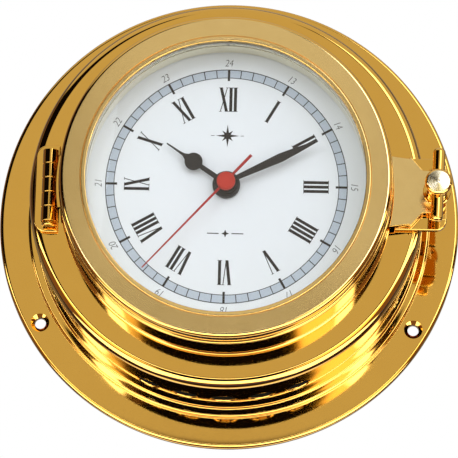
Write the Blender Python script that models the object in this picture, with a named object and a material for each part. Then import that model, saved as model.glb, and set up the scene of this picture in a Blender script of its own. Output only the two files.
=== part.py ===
"""Ship's deck clock: a hinged, dog-latched brass bulkhead clock with a quartz movement.

Frame: metres, +Z up towards 12 o'clock, +X towards 3 o'clock, and the dial faces -Y.  The origin is the
centre of the back plane, where the flange meets the bulkhead.  Sizes below are in millimetres; "depth" is
the distance in front of that plane, so a point at (x, depth, z) lies at y = -depth.
"""
import bmesh
import bpy
from math import cos, pi, radians, sin

from mathutils import Vector

MM = 0.001
GAP = 0.3                     # space left between pieces that touch
ROUND = 48                    # facets round the clock's large turned pieces

# ---- driving dimensions (mm) ----
FLANGE_R = 90.0
FLANGE_THICK = 4.0
DRUM_R = 75.0                 # outer wall of the deep drum
DRUM_INNER_R = 72.2
SHOULDER = 47.0               # depth of the flat ring on the drum's front
SPIGOT_R = 58.4               # upstand inside the bezel, small enough for the bezel to swing off it
SPIGOT_INNER_R = 57.2
SPIGOT_TOP = 54.0
BEZEL_BASE_R = 63.0           # foot bead of the bezel
BEZEL_WALL_R = 62.5
BEZEL_R = 61.7                # front band
BEZEL_STEP = 65.6             # depth where the wall steps in to the front band
BEZEL_INNER_R = 60.9
BEZEL_FACE = 73.0
OPENING_R = 51.8
GLASS_BACK, GLASS_FRONT, GLASS_R = 68.0, 71.0, 55.4
DIAL_FRONT = 56.5
DIAL_THICK = 0.8
DIAL_R = 56.7
WEB_THICK = 3.0               # front web of the carrier, behind the dial
CARRIER_R = 56.9
CARRIER_INNER_R = 54.4

SOUND_HOLE_R, SOUND_HOLE_DEPTH, SOUND_HOLE_STEP = 4.75, 25.0, 11.2
SIDE_SCREW_DEPTH = 28.0
FLANGE_HOLE_R, FLANGE_SINK_R, FLANGE_HOLE_CIRCLE = 2.5, 4.0, 83.8
THIRDS = (90.0, 210.0, 330.0)  # the three screws and the three flange holes share these angles

HINGE_X, HINGE_DEPTH = -66.7, 52.6
BARREL_R, BARREL_HALF, KNUCKLES = 3.0, 14.0, 5
HINGE_PLATE_FRONT, STRAP_FRONT = 49.1, 58.8
LATCH_X, PIVOT_DEPTH = 79.0, 48.0
LUG_BACK, LUG_FRONT, FORK_FRONT = 50.6, 54.0, 53.0
CROSS_BAR_DEPTH, CROSS_BAR_R, CROSS_BAR_HALF, CROSS_BAR_TURN = 63.6, 2.3, 14.1, 2.0
NUT_FRONT = 70.0

HOUR_ANGLE, MINUTE_ANGLE, SECOND_ANGLE = 304.0, 63.8, 222.0   # clockwise from 12
HOUR_HAND_DEPTH, MINUTE_HAND_DEPTH, SECOND_HAND_DEPTH = 59.0, 60.8, 62.6

# Gear train: teeth, and the module that gives each pair its centre distance.
MODULE = 0.5
ROTOR_PINION, INTERMEDIATE_TEETH, INTERMEDIATE_PINION, SECOND_TEETH = 6, 36, 6, 30
SECOND_PINION, THIRD_TEETH, THIRD_PINION, CENTRE_TEETH = 6, 48, 6, 45
CANNON_PINION, MINUTE_TEETH, MINUTE_PINION, HOUR_TEETH, KNOB_PINION = 8, 24, 6, 24, 10
GEAR_THICK = 1.2
LAYER_1, LAYER_2, LAYER_3, LAYER_4, LAYER_5, LAYER_6 = 35.4, 38.0, 40.6, 43.2, 45.8, 47.6


def clear_scene():
    for item in list(bpy.data.objects):
        bpy.data.objects.remove(item, do_unlink=True)


# ---------------------------------------------------------------- materials
def material(name, colour, roughness, metallic, alpha=1.0):
    """One Principled material, made once and then shared by name."""
    found = bpy.data.materials.get(name)
    if found:
        return found
    made = bpy.data.materials.new(name)
    made.use_nodes = True
    shader = made.node_tree.nodes["Principled BSDF"]
    shader.inputs["Base Color"].default_value = (*colour, 1.0)
    shader.inputs["Roughness"].default_value = roughness
    shader.inputs["Metallic"].default_value = metallic
    shader.inputs["Alpha"].default_value = alpha
    return made


def brass():
    return material("polished_brass", (0.62, 0.42, 0.12), 0.12, 1.0)


def satin_brass():
    return material("satin_brass", (0.60, 0.43, 0.17), 0.35, 1.0)


def glass():
    return material("mineral_glass", (0.9, 0.95, 0.95), 0.02, 0.0, 0.2)


def white_enamel():
    return material("white_dial_lacquer", (0.88, 0.92, 0.94), 0.4, 0.0)


def black_lacquer():
    return material("black_hand_lacquer", (0.03, 0.025, 0.025), 0.45, 0.0)


def red_lacquer():
    return material("red_hand_lacquer", (0.65, 0.04, 0.03), 0.4, 0.0)


def steel():
    return material("bright_steel", (0.6, 0.6, 0.6), 0.3, 1.0)


def copper():
    return material("enamelled_copper", (0.7, 0.3, 0.12), 0.35, 1.0)


def black_plastic():
    return material("black_plastic", (0.03, 0.03, 0.03), 0.5, 0.0)


def white_plastic():
    return material("white_gear_plastic", (0.8, 0.8, 0.76), 0.45, 0.0)


def green_board():
    return material("circuit_board_green", (0.02, 0.2, 0.07), 0.5, 0.0)


def cell_jacket():
    return material("cell_jacket", (0.10, 0.12, 0.30), 0.3, 0.2)


# ---------------------------------------------------------------- mesh helpers
def finish(name, mesh, look, origin=(0.0, 0.0, 0.0)):
    """Turn a mesh given in mm of (x, depth, z) into an object whose origin is the given point (mm)."""
    centre = Vector(origin)
    for vertex in mesh.verts:
        x, depth, z = vertex.co - centre
        vertex.co = Vector((x, -depth, z)) * MM
    bmesh.ops.remove_doubles(mesh, verts=mesh.verts, dist=1e-7)
    bmesh.ops.recalc_face_normals(mesh, faces=mesh.faces)
    data = bpy.data.meshes.new(name)
    mesh.to_mesh(data)
    mesh.free()
    data.shade_smooth()
    data.set_sharp_from_angle(angle=radians(30))
    made = bpy.data.objects.new(name, data)
    made.location = Vector((centre.x, -centre.y, centre.z)) * MM
    bpy.context.scene.collection.objects.link(made)
    data.materials.append(look)
    return made


def turned(name, outline, look, axis="depth", centre=(0.0, 0.0, 0.0), segments=24, origin=None, start=0.0):
    """Turn a closed outline of (radius, along) points about a line through centre.

    axis is "depth" (towards the viewer), "z" (up) or an angle in degrees for a radial line in the dial's
    plane, along which "along" is then measured from the clock's axis.
    """
    mesh = bmesh.new()
    rings = []
    for radius, along in outline:
        if radius == 0.0:
            rings.append([mesh.verts.new(axis_point(axis, centre, 0.0, 0.0, along))])
            continue
        ring = []
        for step in range(segments):
            angle = start + 2.0 * pi * step / segments
            ring.append(mesh.verts.new(axis_point(axis, centre, radius, angle, along)))
        rings.append(ring)
    for ring, following in zip(rings, rings[1:] + rings[:1]):
        if len(ring) == 1 and len(following) == 1:
            continue
        for step in range(segments):
            after = (step + 1) % segments
            corners = [ring[step % len(ring)], ring[after % len(ring)],
                       following[after % len(following)], following[step % len(following)]]
            mesh.faces.new(list(dict.fromkeys(corners)))
    return finish(name, mesh, look, centre if origin is None else origin)


def axis_point(axis, centre, radius, angle, along):
    x, depth, z = centre
    if axis == "depth":
        return Vector((x + radius * cos(angle), depth + along, z + radius * sin(angle)))
    if axis == "z":
        return Vector((x + radius * cos(angle), depth + radius * sin(angle), z + along))
    if axis == "x":
        return Vector((x + along, depth + radius * cos(angle), z + radius * sin(angle)))
    outward = Vector((cos(radians(axis)), 0.0, sin(radians(axis))))
    sideways = Vector((-outward.z, 0.0, outward.x))
    return Vector(centre) + outward * along + sideways * radius * cos(angle) + Vector((0, radius * sin(angle), 0))


def prism(name, outline, back, front, look, origin=(0.0, 0.0, 0.0)):
    """Extrude a closed (x, z) outline from one depth to another."""
    mesh = bmesh.new()
    base = mesh.faces.new([mesh.verts.new((x, back, z)) for x, z in outline])
    raised = bmesh.ops.extrude_face_region(mesh, geom=[base])["geom"]
    corners = [item for item in raised if isinstance(item, bmesh.types.BMVert)]
    bmesh.ops.translate(mesh, verts=corners, vec=(0.0, front - back, 0.0))
    return finish(name, mesh, look, origin)


def box(name, low, high, look, origin=(0.0, 0.0, 0.0)):
    outline = [(low[0], low[2]), (high[0], low[2]), (high[0], high[2]), (low[0], high[2])]
    return prism(name, outline, low[1], high[1], look, origin)


def arc(centre, radius, first, last, steps):
    """Points of a circular arc in an outline, angles in degrees."""
    points = []
    for step in range(steps + 1):
        angle = radians(first + (last - first) * step / steps)
        points.append((centre[0] + radius * cos(angle), centre[1] + radius * sin(angle)))
    return points


def combine(target, tools, operation):
    """Cut the tools from the target, or join them to it, and bake the result into the target's mesh."""
    for tool in tools:
        change = target.modifiers.new("solid", "BOOLEAN")
        change.operation = operation
        change.solver = "EXACT"
        change.object = tool
        bpy.context.view_layer.update()
        evaluated = target.evaluated_get(bpy.context.evaluated_depsgraph_get())
        result = bpy.data.meshes.new_from_object(evaluated)
        target.modifiers.clear()
        target.data = result
        bpy.data.objects.remove(tool, do_unlink=True)
    target.data.name = target.name
    return target


def cut(target, *tools):
    return combine(target, tools, "DIFFERENCE")


def join(target, *tools):
    return combine(target, tools, "UNION")


def rod(name, radius, low, high, look, axis="depth", centre=(0.0, 0.0, 0.0), segments=16, origin=None):
    outline = [(0.0, low), (radius, low), (radius, high), (0.0, high)]
    return turned(name, outline, look, axis, centre, segments, origin)


# ---------------------------------------------------------------- case
def case_outline():
    """Section of the case, as (radius, depth) points, from the back plane round the outside and back inside."""
    rim = arc((FLANGE_R - 1.5, FLANGE_THICK - 1.5), 1.5, 0, 90, 2)
    bead = arc((77.4, 5.6), 0.9, 0, 60, 2)
    corner = arc((DRUM_R - 3.5, SHOULDER - 3.5), 3.5, 0, 90, 4)
    outside = [(FLANGE_R - 0.8, 0.0), (FLANGE_R, 0.8), *rim, (78.6, FLANGE_THICK), (78.3, 4.3), *bead,
               (75.7, 7.6), (DRUM_R, 9.0), (DRUM_R, 18.0), *corner, (SPIGOT_R, SHOULDER), (SPIGOT_R, SPIGOT_TOP)]
    inside = [(SPIGOT_INNER_R, SPIGOT_TOP), (SPIGOT_INNER_R, SHOULDER - 2.6), (DRUM_INNER_R, SHOULDER - 2.6),
              (DRUM_INNER_R, 0.0)]
    return outside + inside


def radial_hole(angle, depth, radius, first, last, segments=14):
    return rod("hole_cutter", radius, first, last, brass(), angle, (0.0, depth, 0.0), segments)


def build_case():
    case = turned("case_shell", case_outline(), brass(), segments=ROUND)
    holes = []
    for place in range(-2, 3):
        angle = 270.0 + place * SOUND_HOLE_STEP
        holes.append(radial_hole(angle, SOUND_HOLE_DEPTH, SOUND_HOLE_R, 65.0, 80.0))
    for angle in THIRDS:
        outline = [(0.0, 70.0), (1.7, 70.0), (1.7, DRUM_R - 1.7), (3.6, DRUM_R + 0.3), (3.6, 80.0), (0.0, 80.0)]
        holes.append(turned("screw_cutter", outline, brass(), angle, (0.0, SIDE_SCREW_DEPTH, 0.0), 14))
        sink_floor = FLANGE_THICK - 1.6
        outline = [(0.0, -1.0), (FLANGE_HOLE_R, -1.0), (FLANGE_HOLE_R, sink_floor),
                   (FLANGE_SINK_R, FLANGE_THICK), (FLANGE_SINK_R, 6.0), (0.0, 6.0)]
        place = (FLANGE_HOLE_CIRCLE * cos(radians(angle)), 0.0, FLANGE_HOLE_CIRCLE * sin(radians(angle)))
        holes.append(turned("flange_cutter", outline, brass(), "depth", place, 16))
    return cut(case, *holes)


def build_side_screws():
    for number, angle in enumerate(THIRDS, start=1):
        outline = [(0.0, 65.0), (1.4, 65.0), (1.4, DRUM_R - 1.7), (2.7, DRUM_R - 0.25), (0.0, DRUM_R - 0.25)]
        turned(f"side_screw_{number}", outline, steel(), angle, (0.0, SIDE_SCREW_DEPTH, 0.0), 12)


# ---------------------------------------------------------------- dial side
def build_dial_side():
    web_front = DIAL_FRONT - DIAL_THICK - GAP
    web_back = web_front - WEB_THICK
    outline = [(71.7, 24.0), (71.7, 32.0), (CARRIER_R, 32.0), (CARRIER_R, web_front), (4.6, web_front),
               (4.6, web_back), (CARRIER_INNER_R, web_back), (CARRIER_INNER_R, 24.0)]
    carrier = turned("dial_carrier", outline, black_plastic(), segments=ROUND)
    holes = [radial_hole(angle, SIDE_SCREW_DEPTH, 1.7, 64.4, 74.0, 10) for angle in THIRDS]
    cut(carrier, *holes)
    outline = [(3.8, DIAL_FRONT - DIAL_THICK), (DIAL_R, DIAL_FRONT - DIAL_THICK), (DIAL_R, DIAL_FRONT),
               (3.8, DIAL_FRONT)]
    turned("dial_plate", outline, white_enamel(), segments=ROUND)
    base = DIAL_FRONT + GAP
    outline = [(52.2, base), (56.5, base), (56.5, base + 1.0), (53.3, base + 1.0), (53.3, 64.4), (52.2, 64.4)]
    turned("reflector_ring", outline, brass(), segments=ROUND)


# ---------------------------------------------------------------- bezel
def build_bezel():
    corner = arc((BEZEL_R - 1.6, BEZEL_FACE - 1.6), 1.6, 0, 90, 3)
    outline = [(BEZEL_BASE_R, SHOULDER + GAP), (BEZEL_BASE_R, 48.4), (BEZEL_WALL_R, 49.0),
               (BEZEL_WALL_R, BEZEL_STEP - 0.5), (BEZEL_R, BEZEL_STEP), *corner,
               (OPENING_R + 0.7, BEZEL_FACE), (OPENING_R, BEZEL_FACE - 0.7), (OPENING_R, GLASS_FRONT + GAP),
               (GLASS_R + GAP, GLASS_FRONT + GAP), (GLASS_R + GAP, 67.4), (57.6, 67.4), (57.6, 64.6),
               (59.4, 64.6), (BEZEL_INNER_R, 63.0), (BEZEL_INNER_R, SHOULDER + GAP)]
    bezel = turned("bezel_ring", outline, satin_brass(), segments=ROUND, origin=(HINGE_X, HINGE_DEPTH, 0.0))
    notch = rod("notch_cutter", BARREL_R + 0.7, -BARREL_HALF - 1.2, BARREL_HALF + 1.2, brass(), "z",
                (HINGE_X, HINGE_DEPTH, 0.0), 20)
    cut(bezel, notch)
    pivot = (HINGE_X, HINGE_DEPTH, 0.0)
    outline = [(0.0, GLASS_BACK), (GLASS_R, GLASS_BACK), (GLASS_R, GLASS_FRONT - 0.5),
               (GLASS_R - 0.5, GLASS_FRONT), (0.0, GLASS_FRONT)]
    turned("glass", outline, glass(), segments=ROUND, origin=pivot)
    outline = [(52.3, 67.0), (55.3, 67.0), (55.3, 67.7), (52.3, 67.7)]
    turned("glass_gasket", outline, white_plastic(), segments=ROUND, origin=pivot)
    outline = [(52.3, 65.0), (57.2, 65.0), (57.2, 66.7), (52.3, 66.7)]
    turned("glass_retaining_ring", outline, brass(), segments=ROUND, origin=pivot)


# ---------------------------------------------------------------- hinge
def knuckle_span(number):
    """Lower and upper end of one knuckle, counted from the bottom."""
    height = 2.0 * BARREL_HALF / KNUCKLES
    low = -BARREL_HALF + number * height
    return low + 0.5 * GAP, low + height - 0.5 * GAP


def knuckle(number, look):
    low, high = knuckle_span(number)
    return rod("knuckle", BARREL_R, low, high, look, "z", (HINGE_X, HINGE_DEPTH, 0.0), 20)


def build_hinge():
    axis = (HINGE_X, HINGE_DEPTH, 0.0)
    plate_half, inner, outer, round_r = 17.0, BEZEL_BASE_R + 0.4, -72.6, 4.5
    wall = [(-inner * cos(radians(a)), inner * sin(radians(a))) for a in (-14.6, -7.3, 0.0, 7.3, 14.6)]
    edge = arc((outer + round_r, plate_half - round_r), round_r, 90, 180, 3)
    edge += arc((outer + round_r, round_r - plate_half), round_r, 180, 270, 3)
    leaf = prism("case_hinge_leaf", wall + edge, SHOULDER + GAP, HINGE_PLATE_FRONT, brass())
    for number in range(0, KNUCKLES, 2):
        low, high = knuckle_span(number)
        foot = box("foot", (HINGE_X - BARREL_R, SHOULDER + 1.5, low), (HINGE_X + 1.2, HINGE_DEPTH, high), brass())
        join(leaf, foot, knuckle(number, brass()))
    bore = rod("pin_cutter", 1.5, -20.0, 20.0, brass(), "z", axis, 16)
    cut(leaf, bore)

    strap_r = BEZEL_WALL_R + GAP
    reach = 10.5
    outline = [(-strap_r * cos(radians(a)), strap_r * sin(radians(a))) for a in (-9.0, -4.5, 0.0, 4.5, 9.0)]
    outline += [(-(strap_r + 1.1) * cos(radians(a)), (strap_r + 1.1) * sin(radians(a))) for a in (9, 0, -9)]
    strap = prism("bezel_hinge_leaf", outline, HINGE_DEPTH + BARREL_R + 0.6, STRAP_FRONT, brass(), axis)
    for number in range(1, KNUCKLES, 2):
        low, high = knuckle_span(number)
        tongue = box("tongue", (HINGE_X - 0.4, HINGE_DEPTH + 1.0, low), (-strap_r - 0.2, STRAP_FRONT - 0.6, high), brass())
        join(strap, tongue, knuckle(number, brass()))
    bore = rod("pin_cutter", 1.5, -reach, reach, brass(), "z", axis, 16)
    cut(strap, bore)

    head = -BARREL_HALF - 0.2
    outline = [(0.0, head - 1.5), (1.9, head - 1.5), (2.5, head - 0.9), (2.5, head), (1.2, head),
               (1.2, BARREL_HALF), (0.0, BARREL_HALF)]
    turned("hinge_pin", outline, brass(), "z", axis, 16)


# ---------------------------------------------------------------- latch
def build_latch_lug():
    """Trapezoid pad on the bezel's base, with a lower fork whose slot opens outwards."""
    wall_r = BEZEL_WALL_R + GAP
    wall = [(wall_r * cos(radians(a)), wall_r * sin(radians(a))) for a in (-12.8, -6.4, 0.0, 6.4, 12.8)]
    pad = prism("bezel_latch_lug", wall + [(68.0, 14.2), (73.7, 8.6), (73.7, -8.6), (68.0, -14.2)],
                LUG_BACK, LUG_FRONT, satin_brass(), (HINGE_X, HINGE_DEPTH, 0.0))
    tips = arc((78.6, 6.4), 1.6, 90, 0, 3) + arc((78.6, -6.4), 1.6, 0, -90, 3)
    fork = prism("fork", [(72.0, 8.0), *tips, (72.0, -8.0)], LUG_BACK, FORK_FRONT, satin_brass())
    slot = [*arc((LATCH_X - 0.4, 0.0), 3.0, 90, 270, 6), (84.0, -3.0), (84.0, 3.0)]
    join(pad, fork)
    cut(pad, prism("slot_cutter", slot, LUG_BACK - 2.0, LUG_FRONT + 2.0, brass()))


def build_latch_bracket():
    """Plate on the drum's shoulder, reaching out past the wall to two ears that carry the pivot pin."""
    inner_r, half, outer = BEZEL_BASE_R + 0.4, 14.0, 83.0
    wall = [(inner_r * cos(radians(a)), inner_r * sin(radians(a))) for a in (-11.9, -6.0, 0.0, 6.0, 11.9)]
    edge = arc((outer - 4.0, half - 4.0), 4.0, 90, 0, 3) + arc((outer - 4.0, 4.0 - half), 4.0, 0, -90, 3)
    bracket = prism("latch_bracket", wall + edge, SHOULDER + GAP, 50.2, brass())
    ears = [(76.0, -10.0), (outer, -10.0), (outer, 10.0), (76.0, 10.0)]
    join(bracket, prism("ears", ears, PIVOT_DEPTH - 2.4, 50.0, brass()))
    cut(bracket, box("eye_cutter", (75.6, 40.0, -2.9), (90.0, 55.0, 2.9), brass()),
        rod("pin_cutter", 1.3, -11.0, 11.0, brass(), "z", (LATCH_X, PIVOT_DEPTH, 0.0), 14))
    pivot = (LATCH_X, PIVOT_DEPTH, 0.0)
    rod("latch_pivot_pin", 1.0, -10.0, 10.0, steel(), "z", pivot, 12)


def build_swing_bolt():
    pivot = (LATCH_X, PIVOT_DEPTH, 0.0)
    eye = rod("swing_bolt", 2.4, -2.6, 2.6, brass(), "z", pivot, 18)
    join(eye, rod("shank", 2.0, 1.4, 12.8, brass(), "depth", pivot, 16))
    cut(eye, rod("eye_cutter", 1.3, -3.0, 3.0, brass(), "z", pivot, 14))
    base = FORK_FRONT + GAP
    outline = [(2.3, base), (5.2, base), (5.2, base + 1.2), (2.3, base + 1.2)]
    turned("nut_washer", outline, brass(), "depth", (LATCH_X, 0.0, 0.0), 20)


def build_dog_nut():
    """The nut's hub is bored across for its bar, so the swing bolt's thread ends short of the bar."""
    base = FORK_FRONT + 1.2 + 2.0 * GAP
    outline = [(2.3, base), (3.9, base), (3.9, base + 1.0), (3.2, base + 2.0), (3.2, 60.6), (3.9, 62.6),
               (4.6, 66.4), (5.05, 67.2), (5.05, 68.4), (4.7, 69.0), (0.0, NUT_FRONT), (0.0, 62.4), (2.3, 62.4)]
    nut = turned("dog_nut", outline, satin_brass(), "depth", (LATCH_X, 0.0, 0.0), 20)
    cross = (LATCH_X, CROSS_BAR_DEPTH, 0.0)
    angle = 90.0 - CROSS_BAR_TURN
    cut(nut, rod("bar_cutter", CROSS_BAR_R + GAP, -8.0, 8.0, brass(), angle, cross, 16))
    round_end = arc((0.0, 0.0), CROSS_BAR_R, 0, 90, 3)
    far = [(r if r > 1e-6 else 0.0, CROSS_BAR_HALF - CROSS_BAR_R + a) for r, a in round_end]
    near = [(r, -a) for r, a in reversed(far)]
    turned("nut_cross_bar", near + far, brass(), angle, cross, 16)


# ---------------------------------------------------------------- hands
def pointed(outline, angle):
    """Turn an outline drawn towards 12 o'clock clockwise by an angle."""
    turn = -radians(angle)
    return [(x * cos(turn) - z * sin(turn), x * sin(turn) + z * cos(turn)) for x, z in outline]


def mirrored(half):
    """Full outline from its right-hand half, listed from the tail to the tip."""
    return half + [(-x, z) for x, z in reversed(half) if x > 0.0]


def hand(name, half, angle, depth, thick, hub_r, tube_r, look):
    blade = prism(name, pointed(mirrored(half), angle), depth, depth + thick, look)
    hub = rod("hub", hub_r, depth - 0.25, depth + thick + 0.05, look, segments=24)
    join(blade, hub)
    return cut(blade, rod("hub_cutter", tube_r, depth - 2.0, depth + 4.0, look, segments=20))


def build_hands():
    spade = [(0.9, -2.0), (0.85, 10.6), (2.1, 12.0), (3.4, 14.2), (3.3, 15.8), (2.2, 17.2), (0.9, 18.8),
             (0.45, 21.5), (0.3, 27.4)]
    hand("hour_hand", spade, HOUR_ANGLE, HOUR_HAND_DEPTH, 0.5, 4.35, 3.0, black_lacquer())
    sword = [(0.9, -2.0), (0.9, 4.0), (1.7, 22.5), (1.15, 29.5), (0.25, 38.0)]
    hand("minute_hand", sword, MINUTE_ANGLE, MINUTE_HAND_DEPTH, 0.5, 4.1, 1.8, black_lacquer())
    needle = [(0.55, -13.8), (0.45, 0.0), (0.2, 45.5)]
    blade = prism("second_hand", pointed(mirrored(needle), SECOND_ANGLE), SECOND_HAND_DEPTH,
                  SECOND_HAND_DEPTH + 0.4, red_lacquer())
    outline = [(0.0, 62.2), (3.45, 62.2), (3.45, 63.6), (2.7, 64.3), (0.0, 64.5)]
    join(blade, turned("cap", outline, red_lacquer()))
    cut(blade, rod("bore_cutter", 0.85, 60.0, 63.6, red_lacquer(), segments=12))


# ---------------------------------------------------------------- movement
def gear_outline(teeth, module, turn=0.0, centre=(0.0, 0.0)):
    """Trapezoid teeth: thin enough to run clear of their partners at any angle."""
    pitch_r = 0.5 * teeth * module
    tip_r, root_r = pitch_r + 0.72 * module, pitch_r - 0.95 * module
    pitch = 2.0 * pi / teeth
    points = []
    for tooth in range(teeth):
        middle = radians(turn) + tooth * pitch
        for radius, share in ((root_r, -0.24), (tip_r, -0.085), (tip_r, 0.085), (root_r, 0.24)):
            angle = middle + share * pitch
            points.append((centre[0] + radius * cos(angle), centre[1] + radius * sin(angle)))
    return points


def gear(name, teeth, module, layer, look, centre=(0.0, 0.0), turn=0.0):
    outline = gear_outline(teeth, module, turn, centre)
    return prism(name, outline, layer, layer + GEAR_THICK, look, (centre[0], 0.0, centre[1]))


def spin(name, radius, low, high, look, centre, segments=12):
    return rod(name, radius, low, high, look, "depth", (centre[0], 0.0, centre[1]), segments)


def polar(angle, distance, start=(0.0, 0.0)):
    return (start[0] + distance * cos(radians(angle)), start[1] + distance * sin(radians(angle)))


def meshing_turn(teeth, towards):
    """Turn that points the gap between two teeth towards an angle, for the second gear of a pair."""
    return towards + 180.0 / teeth


THIRD_AT, INTERMEDIATE_AT, ROTOR_FROM, MINUTE_AT, KNOB_FROM = 160.0, 60.0, 30.0, -75.0, -20.0
THIRD_DISTANCE = 0.5 * (SECOND_PINION + THIRD_TEETH) * MODULE
CENTRE_MODULE = 2.0 * THIRD_DISTANCE / (THIRD_PINION + CENTRE_TEETH)
MOTION_DISTANCE = 0.5 * (CANNON_PINION + MINUTE_TEETH) * MODULE
HOUR_MODULE = 2.0 * MOTION_DISTANCE / (MINUTE_PINION + HOUR_TEETH)
THIRD_PLACE = polar(THIRD_AT, THIRD_DISTANCE)
INTERMEDIATE_PLACE = polar(INTERMEDIATE_AT, 0.5 * (INTERMEDIATE_PINION + SECOND_TEETH) * MODULE)
ROTOR_PLACE = polar(ROTOR_FROM, 0.5 * (ROTOR_PINION + INTERMEDIATE_TEETH) * MODULE, INTERMEDIATE_PLACE)
MINUTE_PLACE = polar(MINUTE_AT, MOTION_DISTANCE)
KNOB_PLACE = polar(KNOB_FROM, 0.5 * (KNOB_PINION + MINUTE_TEETH) * MODULE, MINUTE_PLACE)


def build_train():
    look = white_plastic()
    second = gear("second_wheel", SECOND_TEETH, MODULE, LAYER_2, look, turn=INTERMEDIATE_AT)
    pinion = gear("pinion", SECOND_PINION, MODULE, LAYER_3, look, turn=THIRD_AT)
    join(second, spin("shaft", 0.55, LAYER_2 - 0.5, 63.3, look, (0, 0)),
         spin("hub", 0.95, LAYER_2 + 0.1, LAYER_3 + 0.6, look, (0, 0)), pinion)

    third = gear("third_wheel", THIRD_TEETH, MODULE, LAYER_3, look, THIRD_PLACE,
                 meshing_turn(THIRD_TEETH, THIRD_AT + 180.0))
    pinion = gear("pinion", THIRD_PINION, CENTRE_MODULE, LAYER_4, look, THIRD_PLACE, THIRD_AT + 180.0)
    join(third, spin("shaft", 0.8, LAYER_3 - 1.2, LAYER_4 + 2.4, look, THIRD_PLACE), pinion)

    centre = gear("centre_wheel", CENTRE_TEETH, CENTRE_MODULE, LAYER_4, look,
                  turn=meshing_turn(CENTRE_TEETH, THIRD_AT))
    pinion = gear("pinion", CANNON_PINION, MODULE, LAYER_5, look, turn=MINUTE_AT)
    join(centre, spin("tube", 1.5, LAYER_4 + 0.2, 61.6, look, (0, 0), 16), pinion)
    cut(centre, spin("tube_cutter", 0.85, 40.0, 66.0, look, (0, 0), 12))

    intermediate = gear("intermediate_wheel", INTERMEDIATE_TEETH, MODULE, LAYER_1, look, INTERMEDIATE_PLACE,
                        ROTOR_FROM)
    pinion = gear("pinion", INTERMEDIATE_PINION, MODULE, LAYER_2, look, INTERMEDIATE_PLACE,
                  meshing_turn(INTERMEDIATE_PINION, INTERMEDIATE_AT + 180.0))
    join(intermediate, spin("shaft", 0.8, LAYER_1 - 0.5, LAYER_2 + 2.0, look, INTERMEDIATE_PLACE), pinion)

    rotor = spin("rotor", 3.0, LAYER_2, LAYER_2 + 2.0, steel(), ROTOR_PLACE, 20)
    pinion = gear("pinion", ROTOR_PINION, MODULE, LAYER_1, look, ROTOR_PLACE,
                  meshing_turn(ROTOR_PINION, ROTOR_FROM + 180.0))
    join(rotor, spin("shaft", 0.7, LAYER_1 - 0.4, LAYER_2 + 3.0, steel(), ROTOR_PLACE), pinion)

    minute = gear("minute_wheel", MINUTE_TEETH, MODULE, LAYER_5, look, MINUTE_PLACE,
                  meshing_turn(MINUTE_TEETH, MINUTE_AT + 180.0))
    pinion = gear("pinion", MINUTE_PINION, HOUR_MODULE, LAYER_6, look, MINUTE_PLACE, MINUTE_AT + 180.0)
    join(minute, spin("shaft", 0.8, LAYER_5 - 0.8, LAYER_6 + 1.9, look, MINUTE_PLACE), pinion)

    hour = gear("hour_wheel", HOUR_TEETH, HOUR_MODULE, LAYER_6, look,
                turn=meshing_turn(HOUR_TEETH, MINUTE_AT))
    join(hour, spin("tube", 2.7, LAYER_6 + 0.2, 59.9, look, (0, 0), 20))
    cut(hour, spin("tube_cutter", 1.8, 44.0, 66.0, look, (0, 0), 16))

    knob = gear("setting_knob", KNOB_PINION, MODULE, LAYER_5, look, KNOB_PLACE,
                meshing_turn(KNOB_PINION, KNOB_FROM + 180.0))
    join(knob, spin("shaft", 1.0, 30.0, LAYER_5 + 1.7, look, KNOB_PLACE),
         spin("head", 4.5, 28.4, 31.0, look, KNOB_PLACE, 20))


def build_movement_case():
    left, right, low, high = -28.0, 28.0, -33.0, 22.0
    back, front, wall = 33.0, 52.1, 1.2
    shelf = -16.3
    case = box("movement_front_case", (left, back, low), (right, front, high), black_plastic())
    cut(case, box("gear_bay", (left + wall, back - 5, shelf + wall), (right - wall, front - wall, high - wall), brass()),
        box("cell_bay", (left + wall, back - 5, low + wall), (right - wall, front - wall, shelf), brass()),
        rod("bush_cutter", 3.7, front - 5.0, front + 5.0, brass(), segments=20))
    cover = box("movement_rear_cover", (left, 31.5, shelf), (right, back - GAP, high), black_plastic())
    cut(cover, rod("knob_cutter", 1.3, 25.0, 40.0, brass(), "depth", (KNOB_PLACE[0], 0.0, KNOB_PLACE[1]), 14))
    outline = [(3.0, 49.2), (5.0, 49.2), (5.0, 50.6), (3.4, 50.6), (3.4, 58.4), (3.0, 58.4)]
    turned("threaded_bush", outline, brass(), segments=20)
    nut = rod("dial_nut", 5.2, DIAL_FRONT + GAP, 58.2, black_plastic(), segments=32)
    cut(nut, rod("nut_cutter", 3.7, 50.0, 60.0, black_plastic(), segments=20))


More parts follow.
